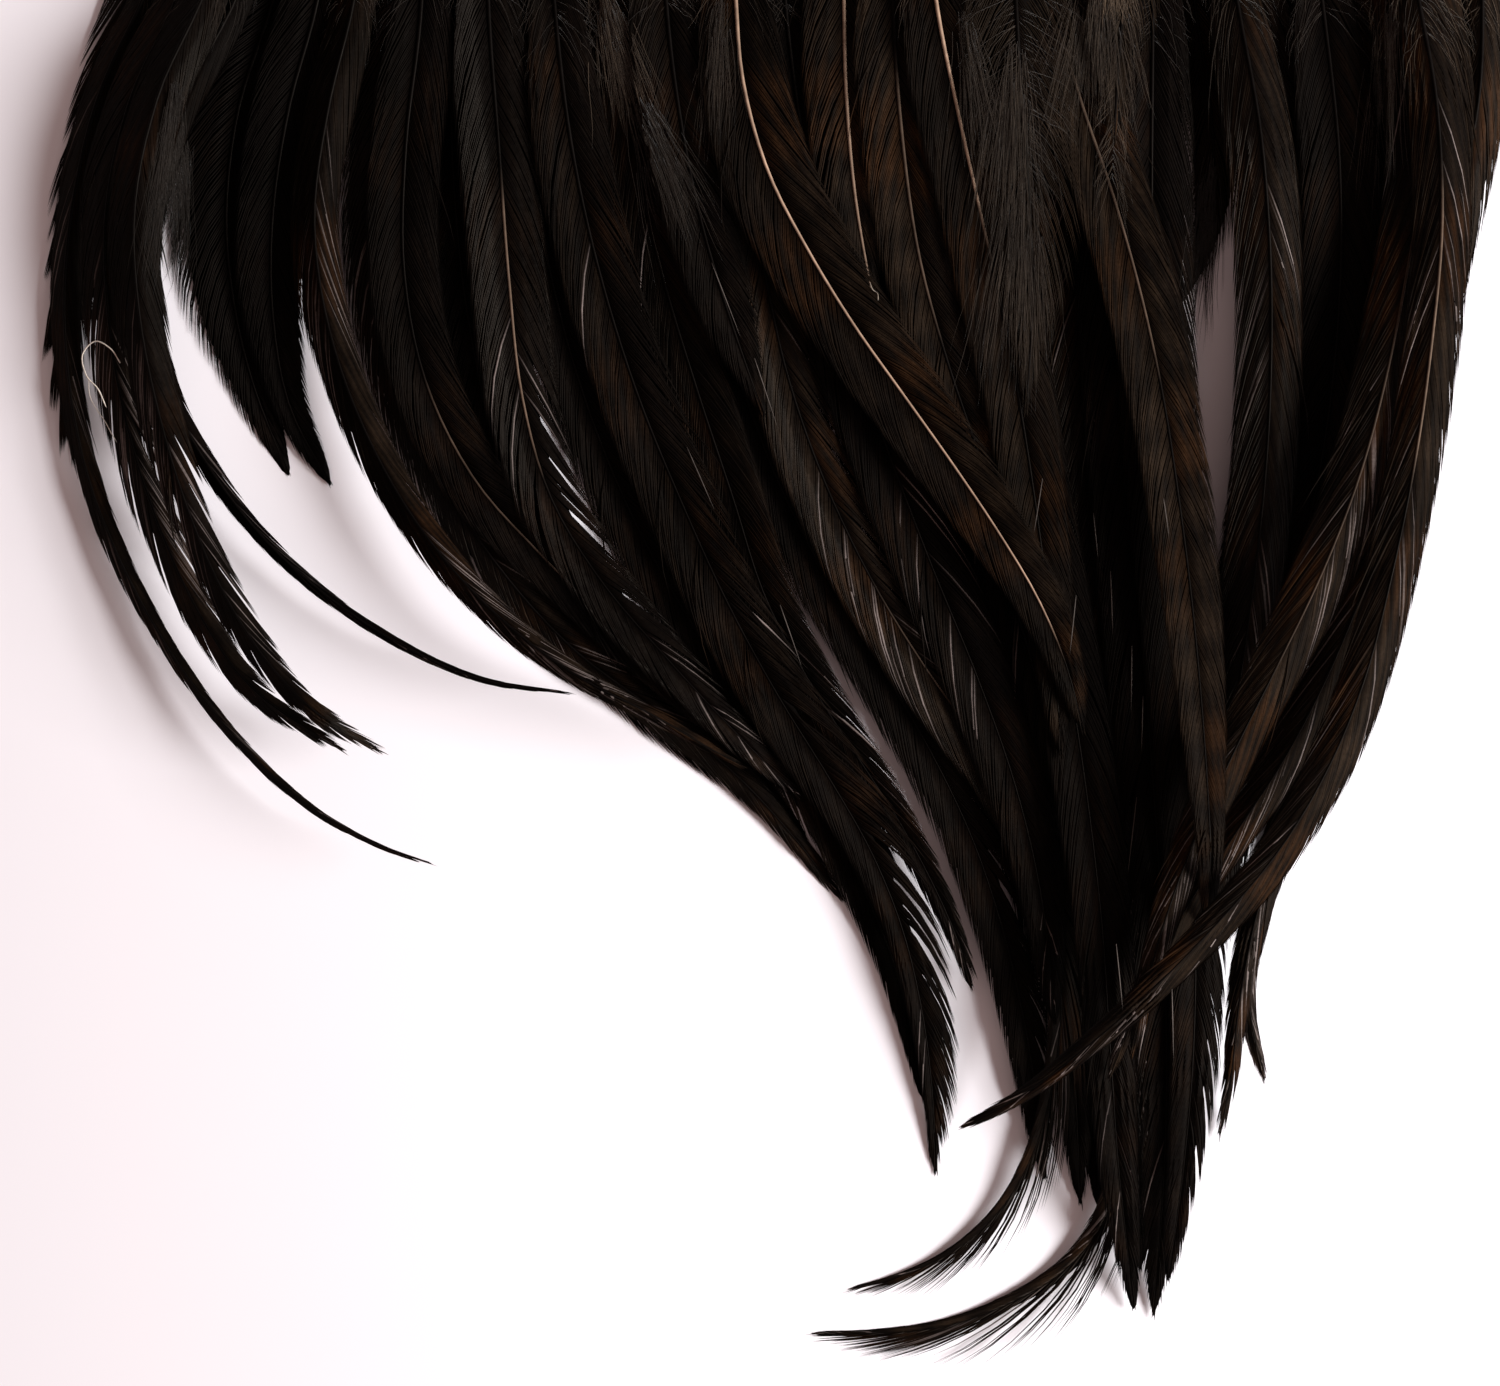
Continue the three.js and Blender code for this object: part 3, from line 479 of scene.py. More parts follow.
def barb_reach(row, length, starts, side):
    """How far ahead and how far aside the barbs end that leave the shaft at these places."""
    share = np.clip((starts - VANE_START) / (length - VANE_START), 0, 1)
    opening = mix(VANE_FIRST_WIDTH, 1, smooth(share / VANE_OPENS_OVER))
    leaning = smooth((share - LEANS_FROM) / (LEANS_FULLY - LEANS_FROM))
    wide = mix(1, row["wide"][0 if side > 0 else 1], leaning)
    reach = row["width"] * wide * opening * (1 - share ** row["taper"])
    lead = np.minimum(BARB_LEAD + BARB_SWEEP * reach, length - starts)
    return lead, np.minimum(reach, TIP_SLIMNESS * (length - starts - lead) + TIP_WIDTH)


def edge_reach(row, length, at, side):
    """Distance from the shaft to the vane's edge, where the barbs end."""
    starts = at - BARB_LEAD
    for _ in range(EDGE_PASSES):
        starts = at - barb_reach(row, length, starts, side)[0]
    return barb_reach(row, length, starts, side)[1]


def fold_of(row, side):
    """The angle by which one side of the vane hangs down, in radians."""
    return math.radians(min(STEEPEST_FOLD, row["fold"] - side * row["tilt"]))


def openness_at(look, share, side):
    """How far the barbs have parted at a share of the vane."""
    opens_from, opens_over = look["opens"]
    return look["comb"][0 if side > 0 else 1] * smooth((share - opens_from) / opens_over)


def tube_faces(count, sides, other_way=False):
    """The faces of a closed tube: rings of points, then a point at its start and one at its end."""
    here = np.arange(sides)
    beside = (here + 1) % sides
    ring = np.arange(count - 1)[:, None] * sides
    quads = np.stack([ring + here, ring + beside, ring + sides + beside, ring + sides + here], axis=-1)
    quads = quads.reshape(-1, 4)
    start, last_ring = count * sides, (count - 1) * sides
    start_cap = np.column_stack([np.full(sides, start), beside, here])
    end_cap = np.column_stack([np.full(sides, start + 1), last_ring + here, last_ring + beside])
    caps = np.concatenate([start_cap, end_cap])
    return [quads[:, [0, 3, 2, 1]], caps[:, [0, 2, 1]]] if other_way else [quads, caps]


# The shaft. Its radii are given at distances from the quill's end.
SHAFT_RADII = ((0, 0.62), (11, 0.56), (22, 0.26), (60, 0.17), (120, 0.11), (200, 0.07))
SHAFT_TIP_RADIUS = 0.04
SHAFT_SIDES = 6
SHAFT_RING_STEP = 2.5
SHAFT_ENDS_BEFORE = 1.5
SHAFT_POINT = 0.4  # length of its pointed tip
SHAFT_LOWEST = 0.02
BUTT_NARROWS = 0.6
BUTT_BULGE = 0.3
PALE_RISE = 0.06  # how far a pale shaft stands over the barbs that grow from it
PALE_FADES_OVER = 8
HORN_ENDS = (12, 24)


def add_shaft(pieces, row, look, shaft):
    """The quill and shaft, a tapering tube with rounded ends."""
    end = shaft.length - SHAFT_ENDS_BEFORE
    at = np.linspace(0, end, int(end / SHAFT_RING_STEP))
    radius = np.interp(at, *zip(*SHAFT_RADII))
    radius[-1] = SHAFT_TIP_RADIUS
    radius[0] *= BUTT_NARROWS
    strength, pale_from, pale_to = look["pale"]
    begins = smooth((at - pale_from) / PALE_FADES_OVER + 1)
    pale = strength * begins * smooth((pale_to - at) / PALE_FADES_OVER + 1)
    turn = np.arange(SHAFT_SIDES) / SHAFT_SIDES * 2 * math.pi
    above = radius[:, None] * np.sin(turn) + PALE_RISE * np.minimum(pale, 1)[:, None]
    rings = shaft.points(at[:, None], radius[:, None] * np.cos(turn), above)
    rings[..., 2] += np.maximum(0, SHAFT_LOWEST - rings[..., 2].min(axis=1))[:, None]
    butt = rings[0].mean(axis=0) + (0, BUTT_BULGE, 0)
    tip = rings[-1].mean(axis=0)
    tip[:2] = shaft.points(np.array([end + SHAFT_POINT]), 0, 0)[0, :2]
    # The pale stretches are partly the shaft's own tan and partly a painted highlight where it catches the
    # light.
    tone = blend_colours(SHAFT_DARK, SHAFT_TAN_AND_HIGHLIGHT, pale)
    horn = 1 - smooth((at - HORN_ENDS[0]) / (HORN_ENDS[1] - HORN_ENDS[0]))
    tone = mix(tone, np.array(QUILL_HORN), horn[:, None])
    tints = np.concatenate([np.repeat(tone, SHAFT_SIDES, axis=0), tone[:1], tone[-1:]])
    points = np.concatenate([rings.reshape(-1, 3), butt[None], tip[None]])
    pieces.add(points, tints, tube_faces(len(at), SHAFT_SIDES, other_way=True), SHAFT)


# The web, the closed part of the vane, which lies under the barbs as far as they hold together.
WEB_STEP = 2.0
WEB_CLOSED = 0.8  # share of the vane's width that it fills where the barbs are closed and where
WEB_OPEN = 0.14  # they have parted
WEB_ROOT = 0.35  # how much further it goes where the vane begins, over a share of it
WEB_ROOT_SHARE = 0.12
WEB_THICKNESS = 0.06
WEB_DROP = 0.05
WEB_LAST_RING = 1  # before the feather's tip
WEB_STARTS_BEFORE = 1  # the first ring
WEB_ENDS_BEFORE = 0.5  # the feather's tip
WEB_LOWEST = np.array([0.03, 0.05, 0.03, 0.02])  # for its left edge, crest, right edge and keel


def add_web(pieces, row, look, shaft):
    """A thin closed sheet that follows the folded vane."""
    at = np.arange(VANE_START, shaft.length - WEB_LAST_RING, WEB_STEP)
    share = (at - VANE_START) / (shaft.length - VANE_START)
    columns = []
    for side in (1, -1):
        fills = mix(WEB_CLOSED, WEB_OPEN, openness_at(look, share, side))
        fills += WEB_ROOT * (1 - smooth(share / WEB_ROOT_SHARE))
        reach = edge_reach(row, shaft.length, at, side) * fills
        fold = fold_of(row, side)
        columns.append(shaft.points(at, side * reach * math.cos(fold), -reach * math.sin(fold) - WEB_DROP))
    crest = shaft.points(at, 0, -WEB_DROP)
    keel = shaft.points(at, 0, -WEB_DROP - WEB_THICKNESS)
    rings = np.stack([columns[0], crest, columns[1], keel], axis=1)
    rings[..., 2] = np.maximum(rings[..., 2], WEB_LOWEST)
    ends_at = np.array([at[0] - WEB_STARTS_BEFORE, shaft.length - WEB_ENDS_BEFORE])
    ends = shaft.points(ends_at, 0, -WEB_DROP)
    ends[:, 2] = np.maximum(ends[:, 2], WEB_LOWEST[0])
    points = np.concatenate([rings.reshape(-1, 3), ends])
    tints = np.tile(np.array(BARB_BLACK), (len(points), 1))
    pieces.add(points, tints, tube_faces(*rings.shape[:2]), BARBS)


def prism_faces(rings, strands):
    """The faces of strands that each have rings of three points and a point at the tip."""
    size = 3 * rings + 1
    left, right, ridge = 0, 1, 2
    quads, tris = [], [(left, right, ridge)]
    for k in range(rings - 1):
        here, there = 3 * k, 3 * k + 3
        quads.append((here + left, here + ridge, there + ridge, there + left))
        quads.append((here + right, there + right, there + ridge, here + ridge))
        quads.append((here + left, there + left, there + right, here + right))
    end, tip = 3 * (rings - 1), size - 1
    tris += [(end + left, end + ridge, tip), (end + right, tip, end + ridge), (end + left, tip, end + right)]
    starts = (np.arange(strands) * size)[:, None, None]
    return [(np.array(block) + starts).reshape(-1, len(block[0])) for block in (quads, tris)]


# A strand is a barb or a fibre.
LOWEST_STRAND = 0.05
SHORTEST_STEP = 1e-9


def add_strands(pieces, spines, widths, ridge, tints, material):
    """Tapering strands. spines and tints are strands by (rings + 1) by 3, widths strands by rings."""
    strands, count, _ = spines.shape
    rings = count - 1
    spines[..., 2] = np.maximum(spines[..., 2], LOWEST_STRAND)
    along = np.gradient(spines, axis=1)[:, :rings]
    aside = np.stack([-along[..., 1], along[..., 0], np.zeros(along.shape[:2])], axis=-1)
    aside /= np.maximum(np.linalg.norm(aside, axis=-1, keepdims=True), SHORTEST_STEP)
    half = aside * widths[..., None] / 2
    ridges = np.zeros_like(half)
    ridges[..., 2] = widths * ridge
    body = spines[:, :rings]
    corners = np.stack([body + half, body - half, body + ridges], axis=2).reshape(strands, 3 * rings, 3)
    points = np.concatenate([corners, spines[:, rings:]], axis=1).reshape(-1, 3)
    colour = np.concatenate([np.repeat(tints[:, :rings], 3, axis=1), tints[:, rings:]], axis=1)
    pieces.add(points, colour.reshape(-1, 3), prism_faces(rings, strands), material)


# The barbs. Two numbers are the least and the most, or where the barbs are closed and where they have
# parted.
BARB_SPACING = 0.46
SPACING_JITTER = 0.35
LAST_BARB_BEFORE_TIP = 1.2
BARB_PROFILE = np.array([0.85, 1.0, 0.85, 0.5])
BARB_WIDTH = 0.27
BARB_RIDGE = 0.06
BARB_TIP_WIDTH = 0.1
BARB_THINS_OVER = 12  # the last barbs before a feather's tip are finer
BARB_CURL = 2.0
BARB_ARCH = 0.12
SOFT_WIDTH = 0.13
THIN_WIDTH = 0.19
FINEST = 0.35
WIDTH_JITTER = (0.8, 1.25)
THINS_FROM = 0.6  # share of the vane from which a side is thin,
THINS_OVER = 0.2  # and share over which it gets so
THINNED = 0.5  # share of the barbs that a thin side lacks
MOST_LOCKS = 200
LOCK_SIZES = (0.4, 1.6)
LOCK_PARTS = (0.2, 1.2)
LOCK_PULL = (0.03, 0.92)
LOCK_PULL_EASED = 0.35  # where a side is thin
LOCK_REACH_JITTER = (0.01, 0.16)
LOCK_LEAD_JITTER = (0.01, 0.1)
LOCK_LIFT_JITTER = (0.01, 0.06)
REACH_JITTER = 0.015
LEAD_JITTER = 0.02
LIFT_JITTER = 0.012
STRAIGHTNESS = (0.3, 0.65)
BEYOND_TIP = 0.3
SOFT_PALENESS = 0.08  # how much of the down's tan hair-like barbs have
STRAYS = 0.004
STRAY_REACH = (1.1, 1.5)
STRAY_LIFT = (0.2, 1.0)

# The barbs' colours.
BAR_LENGTH = 6.4  # of one dark and one brown bar across the vane
BAR_WANDER = 0.9
WANDER_ZONE = 19
BETWEEN_BARS = 0.12  # share of the brown that is left there
FADE_ZONE = 31
FADED = 0.35
LOCK_TONE = 0.25
BARB_TONE = 0.12
TONE_LIMITS = (0.3, 2)
RUST_ZONE = 6  # rusty stretches come about six times as far apart
RUST_STRENGTH = 0.7
# Where barbs get a painted highlight.
GLEAM_ZONE = 9  # barbs gleam in stretches of about three times this length,
GLEAMS_FROM = 35  # from this distance on
GLEAM_STRENGTHS = (0.25, 1)
GLEAM_SKEW = 0.8


def barb_tints(look, at, lock, rng):
    """Black, with soft brown bars across the vane, rusty here and there, and a painted highlight along the
    middle of some barbs.
    """
    wander = BAR_WANDER * np.sin(at / WANDER_ZONE + rng.uniform(*WAVE_STARTS))
    bars = 0.5 + 0.5 * np.sin(at / BAR_LENGTH * 2 * math.pi + rng.uniform(*WAVE_STARTS) + wander)
    fade = mix(FADED, 1, smooth(0.5 + 0.9 * np.sin(at / FADE_ZONE + rng.uniform(*WAVE_STARTS))))
    lock_tone = rng.normal(0, LOCK_TONE, lock.max() + 1)[lock][:, None]
    barb_tone = rng.normal(0, BARB_TONE, len(lock))[:, None]
    tone = np.clip(1 + lock_tone + barb_tone, *TONE_LIMITS)
    shares = look["brown"] * mix(BETWEEN_BARS, 1, smooth(bars) * fade) * tone
    tints = blend_colours(BARB_BLACK, BARB_BROWN, shares)
    rusty = smooth(1.5 * np.sin(at / RUST_ZONE + rng.uniform(*WAVE_STARTS)) - 0.5) * smooth(bars)
    rust = rusty * RUST_STRENGTH * look["brown"]
    tints = mix(tints, np.array(BARB_RUST), np.clip(rust, 0, 1)[..., None])
    # Painted highlight: some barbs are tinted pale along their middle, where they would catch the light.
    along = np.linspace(0, 1, at.shape[1])
    zones = smooth(0.5 + np.sin(at[:, 0] / GLEAM_ZONE + rng.uniform(*WAVE_STARTS)))
    zones *= smooth(at[:, 0] / GLEAMS_FROM - 1)
    gleaming = rng.random(len(lock)) < 2 * look["gleam"] * zones
    gleams = gleaming * rng.uniform(*GLEAM_STRENGTHS, len(lock))
    gleam = gleams[:, None] * np.sin(math.pi * along**GLEAM_SKEW) ** 2
    return mix(tints, np.array(PAINTED_BARB_GLEAM), gleam[..., None])


def add_barbs(pieces, row, look, shaft, side, rng):
    """The barbs of one side of the vane. They leave the shaft in locks that part towards the edge."""
    which = 0 if side > 0 else 1
    starts = np.arange(VANE_START, shaft.length - LAST_BARB_BEFORE_TIP, BARB_SPACING)
    starts = starts + rng.uniform(-SPACING_JITTER, SPACING_JITTER, len(starts)) * BARB_SPACING
    share = (starts - VANE_START) / (shaft.length - VANE_START)
    thin = look["thin"][which] * smooth((share - THINS_FROM) / THINS_OVER)
    keep = rng.random(len(starts)) > THINNED * thin
    starts, share, thin = starts[keep], share[keep], thin[keep]
    strands = len(starts)
    room = shaft.length - starts

    # Locks are barbs whose ends draw together.
    sizes = look["lock"] * rng.uniform(*LOCK_SIZES, MOST_LOCKS)
    edges = np.concatenate([[starts[0] - 1], starts[0] + np.cumsum(sizes)])
    lock = np.searchsorted(edges, starts)
    middle = (edges[lock] + edges[lock - 1]) / 2
    lock_noise = rng.normal(0, 1, (3, len(edges)))[:, lock]
    parts = rng.uniform(*LOCK_PARTS, len(edges))[lock]
    openness = np.clip(openness_at(look, share, side) * parts, 0, 1)

    usual_lead = barb_reach(row, shaft.length, starts, side)[0]
    longer = 1 + (look["long"][which] - 1) * thin
    lead = room * (1 - np.exp(-usual_lead * look["sweep"] * longer / room))
    reach = look["fuller"][which] * barb_reach(row, shaft.length, starts + lead - usual_lead, side)[1]
    lock_reach = mix(*LOCK_REACH_JITTER, openness) * np.abs(lock_noise[0])
    reach *= 1 + REACH_JITTER * rng.standard_normal(strands) - lock_reach
    lock_lead = mix(*LOCK_LEAD_JITTER, openness) * lock_noise[1]
    lead *= 1 + lock_lead + LEAD_JITTER * rng.standard_normal(strands)
    reach = np.minimum(reach, TIP_SLIMNESS * np.maximum(room - lead, 0) * longer + BARB_TIP_WIDTH)
    lock_lift = mix(*LOCK_LIFT_JITTER, openness) * lock_noise[2]
    lift = lock_lift + LIFT_JITTER * rng.standard_normal(strands)

    # A few strays stand out from the rest.
    stray = rng.random(strands) < STRAYS
    reach[stray] *= rng.uniform(*STRAY_REACH, stray.sum())
    lift[stray] += rng.uniform(*STRAY_LIFT, stray.sum())

    u = np.linspace(0, 1, len(BARB_PROFILE) + 1)
    pulled = mix(*LOCK_PULL, openness * (1 - LOCK_PULL_EASED * thin))
    pull = pulled[:, None] * u**1.4 * (middle - starts)[:, None]
    forward = np.minimum(lead[:, None] * u + pull, room[:, None] + BEYOND_TIP)
    straight = mix(*STRAIGHTNESS, np.maximum(openness, thin))[:, None]
    aside = reach[:, None] * (straight * u + (1 - straight) * (1 - (1 - u) ** BARB_CURL))
    fold = fold_of(row, side)
    above = -aside * math.sin(fold) + BARB_ARCH * np.sin(np.pi * u) + lift[:, None] * u**1.5
    spines = shaft.points(starts[:, None] + forward, side * aside * math.cos(fold), above)

    # Stiff barbs don't follow the shaft round a bend but stand out from its outer side.
    unbent = shaft.straight_points(starts, forward, side * aside * math.cos(fold))
    outwards = (unbent - spines[..., :2]) * side * shaft.along(starts, shaft.left)[:, None]
    outer = np.sum(outwards, axis=-1, keepdims=True) > 0
    spines[..., :2] = np.where(outer, mix(spines[..., :2], unbent, look["stiff"]), spines[..., :2])

    full_width = SOFT_WIDTH if look["soft"] else BARB_WIDTH
    width = mix(full_width, THIN_WIDTH, thin) * np.clip(room / BARB_THINS_OVER, FINEST, 1)
    width *= rng.uniform(*WIDTH_JITTER, strands)
    widths = width[:, None] * BARB_PROFILE
    tints = barb_tints(look, starts[:, None] + forward, lock, rng)
    if look["soft"]:
        tints = mix(tints, np.array(DOWN_TAN), SOFT_PALENESS)
    add_strands(pieces, spines, widths, BARB_RIDGE, tints, GLOSSY_BARBS if look["gloss"] else BARBS)


# Loose fibres: the down where a vane begins, tufts on the pile and pale wisps. Two numbers are the least
# and the most.
FIBRE_PROFILE = np.array([1, 0.9, 0.8, 0.7, 0.5])
FIBRE_WIDTH = 0.07
FIBRE_RIDGE = 0.5
DOWN_FIBRES = 20  # on each side of every feather,
DOWN_PER_MM = 3  # and for each millimetre of the downy part
DOWN_SPREAD = 1.25
DOWN_LEAD = (2.5, 8.5)
DOWN_SHORTEST = 2.2
DOWN_REACH_AT = 8  # ahead, where the vane's width counts
DOWN_REACH = (0.55, 1.15)
DOWN_RISE = (-0.2, 0.5)
DOWN_WAVES = (4, 9)
DOWN_SWAY = (0.35, 0.3, 0.15)  # forward, aside and up
DOWN_WIDTHS = (0.7, 1.3)
DOWN_BROWN = 0.6
TUFT_BEGINS = (0, 0.45)  # shares of the way from its root to its end
TUFT_GOES_ON = (0.35, 0.75)
TUFT_OFFSET = 0.4
TUFT_NARROWS = 0.35
TUFT_WIDTHS = (0.6, 1.2)
TUFT_TONES = (0.4, 1.2)
TUFT_RISE = (0.1, 0.55)
TUFT_WAVE = 0.2
TUFT_WAVES = (3, 7)
TUFT_LEVELLING = (0.25, 0.5, 0.25)
WISP_RISE = 0.6
WISP_SWING = 0.5


def add_down(pieces, row, look, shaft, side, rng):
    """Fine soft fibres where the vane begins, wavy and loose."""
    vane = shaft.length - VANE_START
    count = int(DOWN_FIBRES + DOWN_PER_MM * look["down"] * vane)
    share = rng.random(count) * look["down"] * DOWN_SPREAD
    starts = VANE_START - 1 + share * vane
    reach = barb_reach(row, shaft.length, starts + DOWN_REACH_AT, side)[1]
    reach = np.maximum(reach, DOWN_SHORTEST) * rng.uniform(*DOWN_REACH, count)
    lead = rng.uniform(*DOWN_LEAD, count)
    u = np.linspace(0, 1, len(FIBRE_PROFILE) + 1)
    wave = rng.uniform(0, 2 * np.pi, count)[:, None] + u * rng.uniform(*DOWN_WAVES, count)[:, None]
    forward = lead[:, None] * u**1.2 + DOWN_SWAY[0] * np.sin(wave) * u
    aside = reach[:, None] * (1 - (1 - u) ** 1.3) + DOWN_SWAY[1] * np.cos(wave) * u
    fold = fold_of(row, side)
    rise = rng.uniform(*DOWN_RISE, count)[:, None]
    above = -aside * math.sin(fold) + rise * u + DOWN_SWAY[2] * np.sin(wave * 1.3) * u
    spines = shaft.points(starts[:, None] + forward, side * aside * math.cos(fold), above)
    widths = FIBRE_WIDTH * FIBRE_PROFILE * rng.uniform(*DOWN_WIDTHS, count)[:, None]
    tints = blend_colours(DOWN_DARK, DOWN_TAN, rng.random(count) * DOWN_BROWN * look["brown"])
    add_strands(pieces, spines, widths, FIBRE_RIDGE, np.repeat(tints[:, None], len(u), axis=1), DOWN)


def add_tuft(pieces, pile, rng, root, end, spread, count, pale):
    """Loose fibres that fan out from a root over the top of the pile."""
    root, end = np.array(root, float), np.array(end, float)
    reach = np.linalg.norm(end - root)
    across = np.array([root[1] - end[1], end[0] - root[0]]) / reach
    begin = rng.uniform(*TUFT_BEGINS, count)
    finish = begin + rng.uniform(*TUFT_GOES_ON, count)
    offset = rng.normal(0, TUFT_OFFSET, count)
    u = np.linspace(0, 1, len(FIBRE_PROFILE) + 1)
    t = mix(begin[:, None], finish[:, None], u)
    fan = spread * offset[:, None] * (TUFT_NARROWS + t)
    wave_starts = rng.uniform(*WAVE_STARTS, count)[:, None]
    wave = TUFT_WAVE * np.sin(wave_starts + u * rng.uniform(*TUFT_WAVES, count)[:, None])
    plan = root + t[..., None] * (end - root) + (fan + wave)[..., None] * across
    rise = rng.uniform(*TUFT_RISE, count)
    spines = np.zeros((count, len(u), 3))
    for i in range(count):
        heights = [top_height(pile, *place) or 0 for place in plan[i]]
        level = np.convolve(np.pad(heights, 1, mode="edge"), TUFT_LEVELLING, mode="valid")
        spines[i] = np.column_stack([plan[i], np.maximum(level, heights) + rise[i]])
    widths = FIBRE_WIDTH * FIBRE_PROFILE * rng.uniform(*TUFT_WIDTHS, count)[:, None]
    tints = blend_colours(DOWN_DARK, DOWN_TAN, pale * rng.uniform(*TUFT_TONES, count))
    add_strands(pieces, spines, widths, FIBRE_RIDGE, np.repeat(tints[:, None], len(u), axis=1), DOWN)


def add_wisp(pieces, pile, path, thickness, pale):
    """A pale curl of down caught on the pile."""
    plan = catmull_rom(path, per_span=5)
    heights = [top_height(pile, *place) or 0 for place in plan]
    swing = WISP_SWING * np.sin(np.linspace(0, 9, len(plan)))
    level = np.full(len(plan), max(heights) + WISP_RISE) + swing
    spine = np.column_stack([plan, level])[None]
    widths = np.full((1, len(plan) - 1), thickness)
    tints = blend_colours(DOWN_TAN, WISP_PALE, np.full((1, len(plan)), pale))
    add_strands(pieces, spine, widths, FIBRE_RIDGE, tints, DOWN)


def add_glint(pieces, pile, begin, end):
    """One barb that stands a little over its neighbours, tinted pale as a painted highlight."""
    u = np.linspace(0, 1, len(FIBRE_PROFILE) + 1)[:, None]
    plan = mix(np.array(begin), np.array(end), u)
    level = max(top_height(pile, *place) or 0 for place in plan)
    spine = np.column_stack([plan, level + GLINT_RISE * np.sin(np.pi * u)])[None]
    widths = GLINT_WIDTH * np.sin(np.pi * (0.2 + 0.8 * u[None, :-1, 0]))
    # Painted highlight: the barb is tinted pale in place of catching the light.
    tints = np.tile(np.array(GLINT_PAINTED_HIGHLIGHT), (1, len(u), 1))
    add_strands(pieces, spine, widths, BARB_RIDGE, tints, BARBS)


# Materials. Two numbers are the least and the most of a noise.
LIGHT_TINT = (1, 0.84, 0.7, 1)
SHEEN_ROUGHNESS = 0.4
NOISE_SPAN = (0.3, 0.7)
PATCH_SCALE = 90
PATCHES = (0.6, 1.5)
GRAIN = (0.8, 1.2)
ROUGHNESS = (0.85, 1.2)
BUMP_DEPTH = 0.05


def material(name, roughness, specular, grain, bump, sheen=0.0):
    """The tint of each strand, broken up by a fine grain and broad patches."""
    made = bpy.data.materials.new(name)
    made.use_nodes = True
    nodes, links = made.node_tree.nodes, made.node_tree.links
    shader = nodes["Principled BSDF"]
    shader.inputs["Specular IOR Level"].default_value = specular
    shader.inputs["Specular Tint"].default_value = LIGHT_TINT
    shader.inputs["Sheen Weight"].default_value = sheen
    shader.inputs["Sheen Roughness"].default_value = SHEEN_ROUGHNESS
    place = nodes.new("ShaderNodeTexCoord")
    tint = nodes.new("ShaderNodeAttribute")
    tint.attribute_name = "tint"

    def noise(scale, detail=2):
        node = nodes.new("ShaderNodeTexNoise")
        node.inputs["Scale"].default_value = scale
        node.inputs["Detail"].default_value = detail
        links.new(place.outputs["Object"], node.inputs["Vector"])
        return node

    def ramp(source, low, high):
        node = nodes.new("ShaderNodeMapRange")
        for socket, value in zip(("From Min", "From Max", "To Min", "To Max"), (*NOISE_SPAN, low, high)):
            node.inputs[socket].default_value = value
        links.new(source.outputs["Fac"], node.inputs["Value"])
        return node

    patches = ramp(noise(PATCH_SCALE, 3), *PATCHES)
    fine = ramp(noise(grain), *GRAIN)
    product = nodes.new("ShaderNodeMath")
    product.operation = "MULTIPLY"
    links.new(patches.outputs["Result"], product.inputs[0])
    links.new(fine.outputs["Result"], product.inputs[1])
    scaled = nodes.new("ShaderNodeVectorMath")
    scaled.operation = "SCALE"
    links.new(tint.outputs["Color"], scaled.inputs[0])
    links.new(product.outputs["Value"], scaled.inputs["Scale"])
    links.new(scaled.outputs["Vector"], shader.inputs["Base Color"])
    rough = ramp(noise(grain * 0.5), roughness * ROUGHNESS[0], roughness * ROUGHNESS[1])
    links.new(rough.outputs["Result"], shader.inputs["Roughness"])
    height = nodes.new("ShaderNodeBump")
    height.inputs["Strength"].default_value = bump
    height.inputs["Distance"].default_value = BUMP_DEPTH * MM
    links.new(noise(grain * 2).outputs["Fac"], height.inputs["Height"])
    links.new(height.outputs["Normal"], shader.inputs["Normal"])
    return made


barb_material = material("feather_barbs", 0.46, 0.021, 2500, 0.2)
gloss_material = material("feather_barbs_glossy", 0.38, 0.06, 2500, 0.2)
shaft_material = material("feather_shaft", 0.45, 0.04, 900, 0.15)
down_material = material("feather_down", 0.8, 0.15, 3000, 0.2, sheen=0.1)
thread_material = material("stitching_thread", 0.8, 0.2, 4000, 0.5)


def finish_piece(pieces, name, materials, node):
    piece = bpy.data.objects.new(name, pieces.mesh(name, materials))
    bpy.context.scene.collection.objects.link(piece)
    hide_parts(node)
    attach(piece, "root")


SEED = 1000


def own(things, row):
    """What belongs to one feather, from a list that gives the feather's place first."""
    return [rest for place, *rest in things if place == row["place"]]


def make_feather(row, pile):
    rng = np.random.default_rng(SEED + row["place"])
    look = look_of(row)
    shaft = Shaft(row)
    pieces = Pieces()
    add_shaft(pieces, row, look, shaft)
    add_web(pieces, row, look, shaft)
    for side in (1, -1):
        add_barbs(pieces, row, look, shaft, side, rng)
        add_down(pieces, row, look, shaft, side, rng)
    for tuft in own(TUFTS, row):
        add_tuft(pieces, pile, rng, *tuft)
    for wisp in own(WISPS, row):
        add_wisp(pieces, pile, *wisp)
    for glint in own(GLINTS, row):
        add_glint(pieces, pile, *glint)
    materials = [barb_material, shaft_material, down_material, gloss_material]
    finish_piece(pieces, f"plume_{row['place']:02d}", materials, node_of(row))


# The stitches.
PLY_RADIUS = 0.2
PLY_SIDES = 5
PLY_TWIST = 1.5  # length of one turn of the thread's plies
PLY_STEP = 0.3
THREAD_ENDS_BEFORE = 0.7  # the solid of the row
THREAD_SWING = 1.9  # how far it keeps from the quills, in radii of a ply
THREAD_SIDEWAYS = 0.3


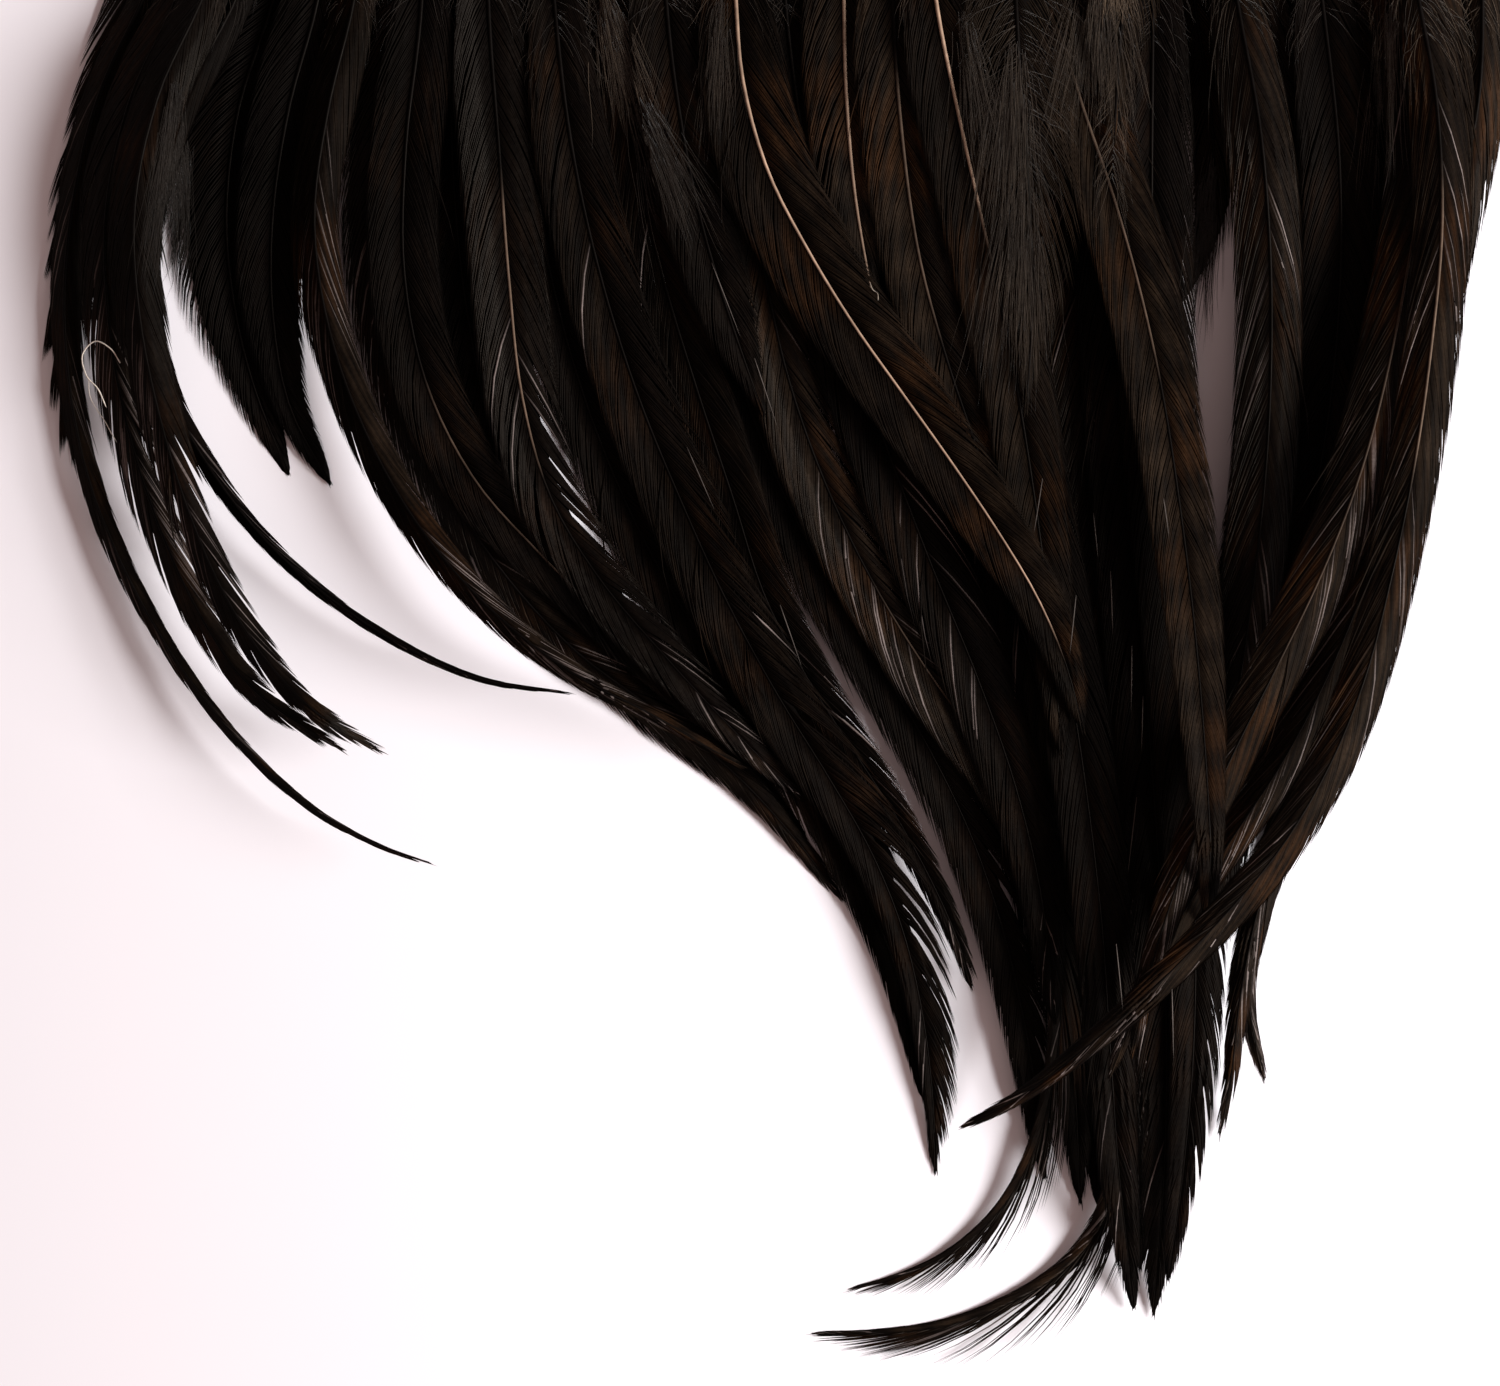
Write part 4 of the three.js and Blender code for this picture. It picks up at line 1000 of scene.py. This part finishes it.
def add_ply(pieces, centres):
    """One ply of a thread, a closed round tube through some points."""
    along = np.gradient(centres, axis=0)
    along /= np.linalg.norm(along, axis=1)[:, None]
    across = np.cross(along, (0.0, 1.0, 0.0))
    across /= np.linalg.norm(across, axis=1)[:, None]
    other = np.cross(along, across)
    turn = np.arange(PLY_SIDES) / PLY_SIDES * 2 * math.pi
    round_it = across[:, None] * np.cos(turn)[:, None] + other[:, None] * np.sin(turn)[:, None]
    rings = centres[:, None] + PLY_RADIUS * round_it
    points = np.concatenate([rings.reshape(-1, 3), centres[:1], centres[-1:]])
    tints = np.tile(np.array(THREAD_BLACK), (len(points), 1))
    pieces.add(points, tints, tube_faces(len(centres), PLY_SIDES), 0)


def make_stitch_row(name, node, y):
    """Two twisted threads that pass over and under the quills in turn."""
    pieces = Pieces()
    half = STRIP_LENGTH / 2 + ROW_OVERHANG - THREAD_ENDS_BEFORE
    x = np.arange(-half, half, PLY_STEP)
    phase = (x + STRIP_LENGTH / 2) / QUILL_PITCH * math.pi
    swing = (QUILL_RADIUS + PLY_RADIUS * THREAD_SWING) * np.cos(phase)
    sideways = THREAD_SIDEWAYS * np.sin(phase)
    for thread in (1, -1):
        for strand in (0, math.pi):
            angle = x / PLY_TWIST * 2 * math.pi + strand
            across = y + thread * sideways + PLY_RADIUS * np.cos(angle)
            up = QUILL_HEIGHT + thread * swing + PLY_RADIUS * np.sin(angle)
            centres = np.column_stack([x, across, np.maximum(up, PLY_RADIUS)])
            add_ply(pieces, centres)
    finish_piece(pieces, name, [thread_material], node)


whole_pile = solid_tree([node_of(row) for row in FEATHERS])
for row in FEATHERS:
    make_feather(row, whole_pile)
make_stitch_row("thread_front_row", "stitching_front_row", 0)
make_stitch_row("thread_back_row", "stitching_back_row", ROW_SPACING)


# The stage, in metres.
FLOOR_SIZE = 3
FLOOR_COLOUR = (0.86, 0.815, 0.843, 1)
FLOOR_ROUGHNESS = 0.9
ROOM_COLOUR = (1.0, 0.73, 0.68, 1)
ROOM_STRENGTH = 0.29


def make_floor():
    """The surface that the feathers lie on."""
    bpy.ops.mesh.primitive_plane_add(size=FLOOR_SIZE)
    floor = bpy.context.object
    floor.name = "floor"
    paper = bpy.data.materials.new("pale_paper")
    paper.use_nodes = True
    shader = paper.node_tree.nodes["Principled BSDF"]
    shader.inputs["Base Color"].default_value = FLOOR_COLOUR
    shader.inputs["Roughness"].default_value = FLOOR_ROUGHNESS
    floor.data.materials.append(paper)


def make_light(name, place, aim, size, power, colour):
    data = bpy.data.lights.new(name, "AREA")
    data.shape = "DISK"
    data.size = size
    data.energy = power
    data.color = colour
    lamp = bpy.data.objects.new(name, data)
    lamp.location = place
    lamp.rotation_euler = (Vector(aim) - Vector(place)).to_track_quat("-Z", "Y").to_euler()
    bpy.context.scene.collection.objects.link(lamp)


def make_world():
    world = bpy.data.worlds.new("room")
    world.use_nodes = True
    background = world.node_tree.nodes["Background"]
    background.inputs["Color"].default_value = ROOM_COLOUR
    background.inputs["Strength"].default_value = ROOM_STRENGTH
    bpy.context.scene.world = world


make_floor()
make_world()
make_light("window", place=(0.55, -0.13, 0.34), aim=(0, -0.11, 0), size=0.32, power=10.2,
           colour=(0.97, 0.99, 1.0))

# The camera looks straight down, as in the photo: 1500 pixels of 0.12 mm across.
PIXEL = 0.12
PHOTO_WIDTH = 1500
PHOTO_CENTRE = (-8.4, -103.6)
FEATHER_PLANE = 4
LENS, SENSOR = 100, 36

camera_data = bpy.data.cameras.new("camera")
camera_data.lens = LENS
camera_data.sensor_width = SENSOR
camera = bpy.data.objects.new("camera", camera_data)
camera.location = (
    PHOTO_CENTRE[0] * MM,
    PHOTO_CENTRE[1] * MM,
    (PIXEL * PHOTO_WIDTH * LENS / SENSOR + FEATHER_PLANE) * MM,
)
bpy.context.scene.collection.objects.link(camera)
bpy.context.scene.camera = camera
bpy.context.scene.view_settings.view_transform = "Standard"
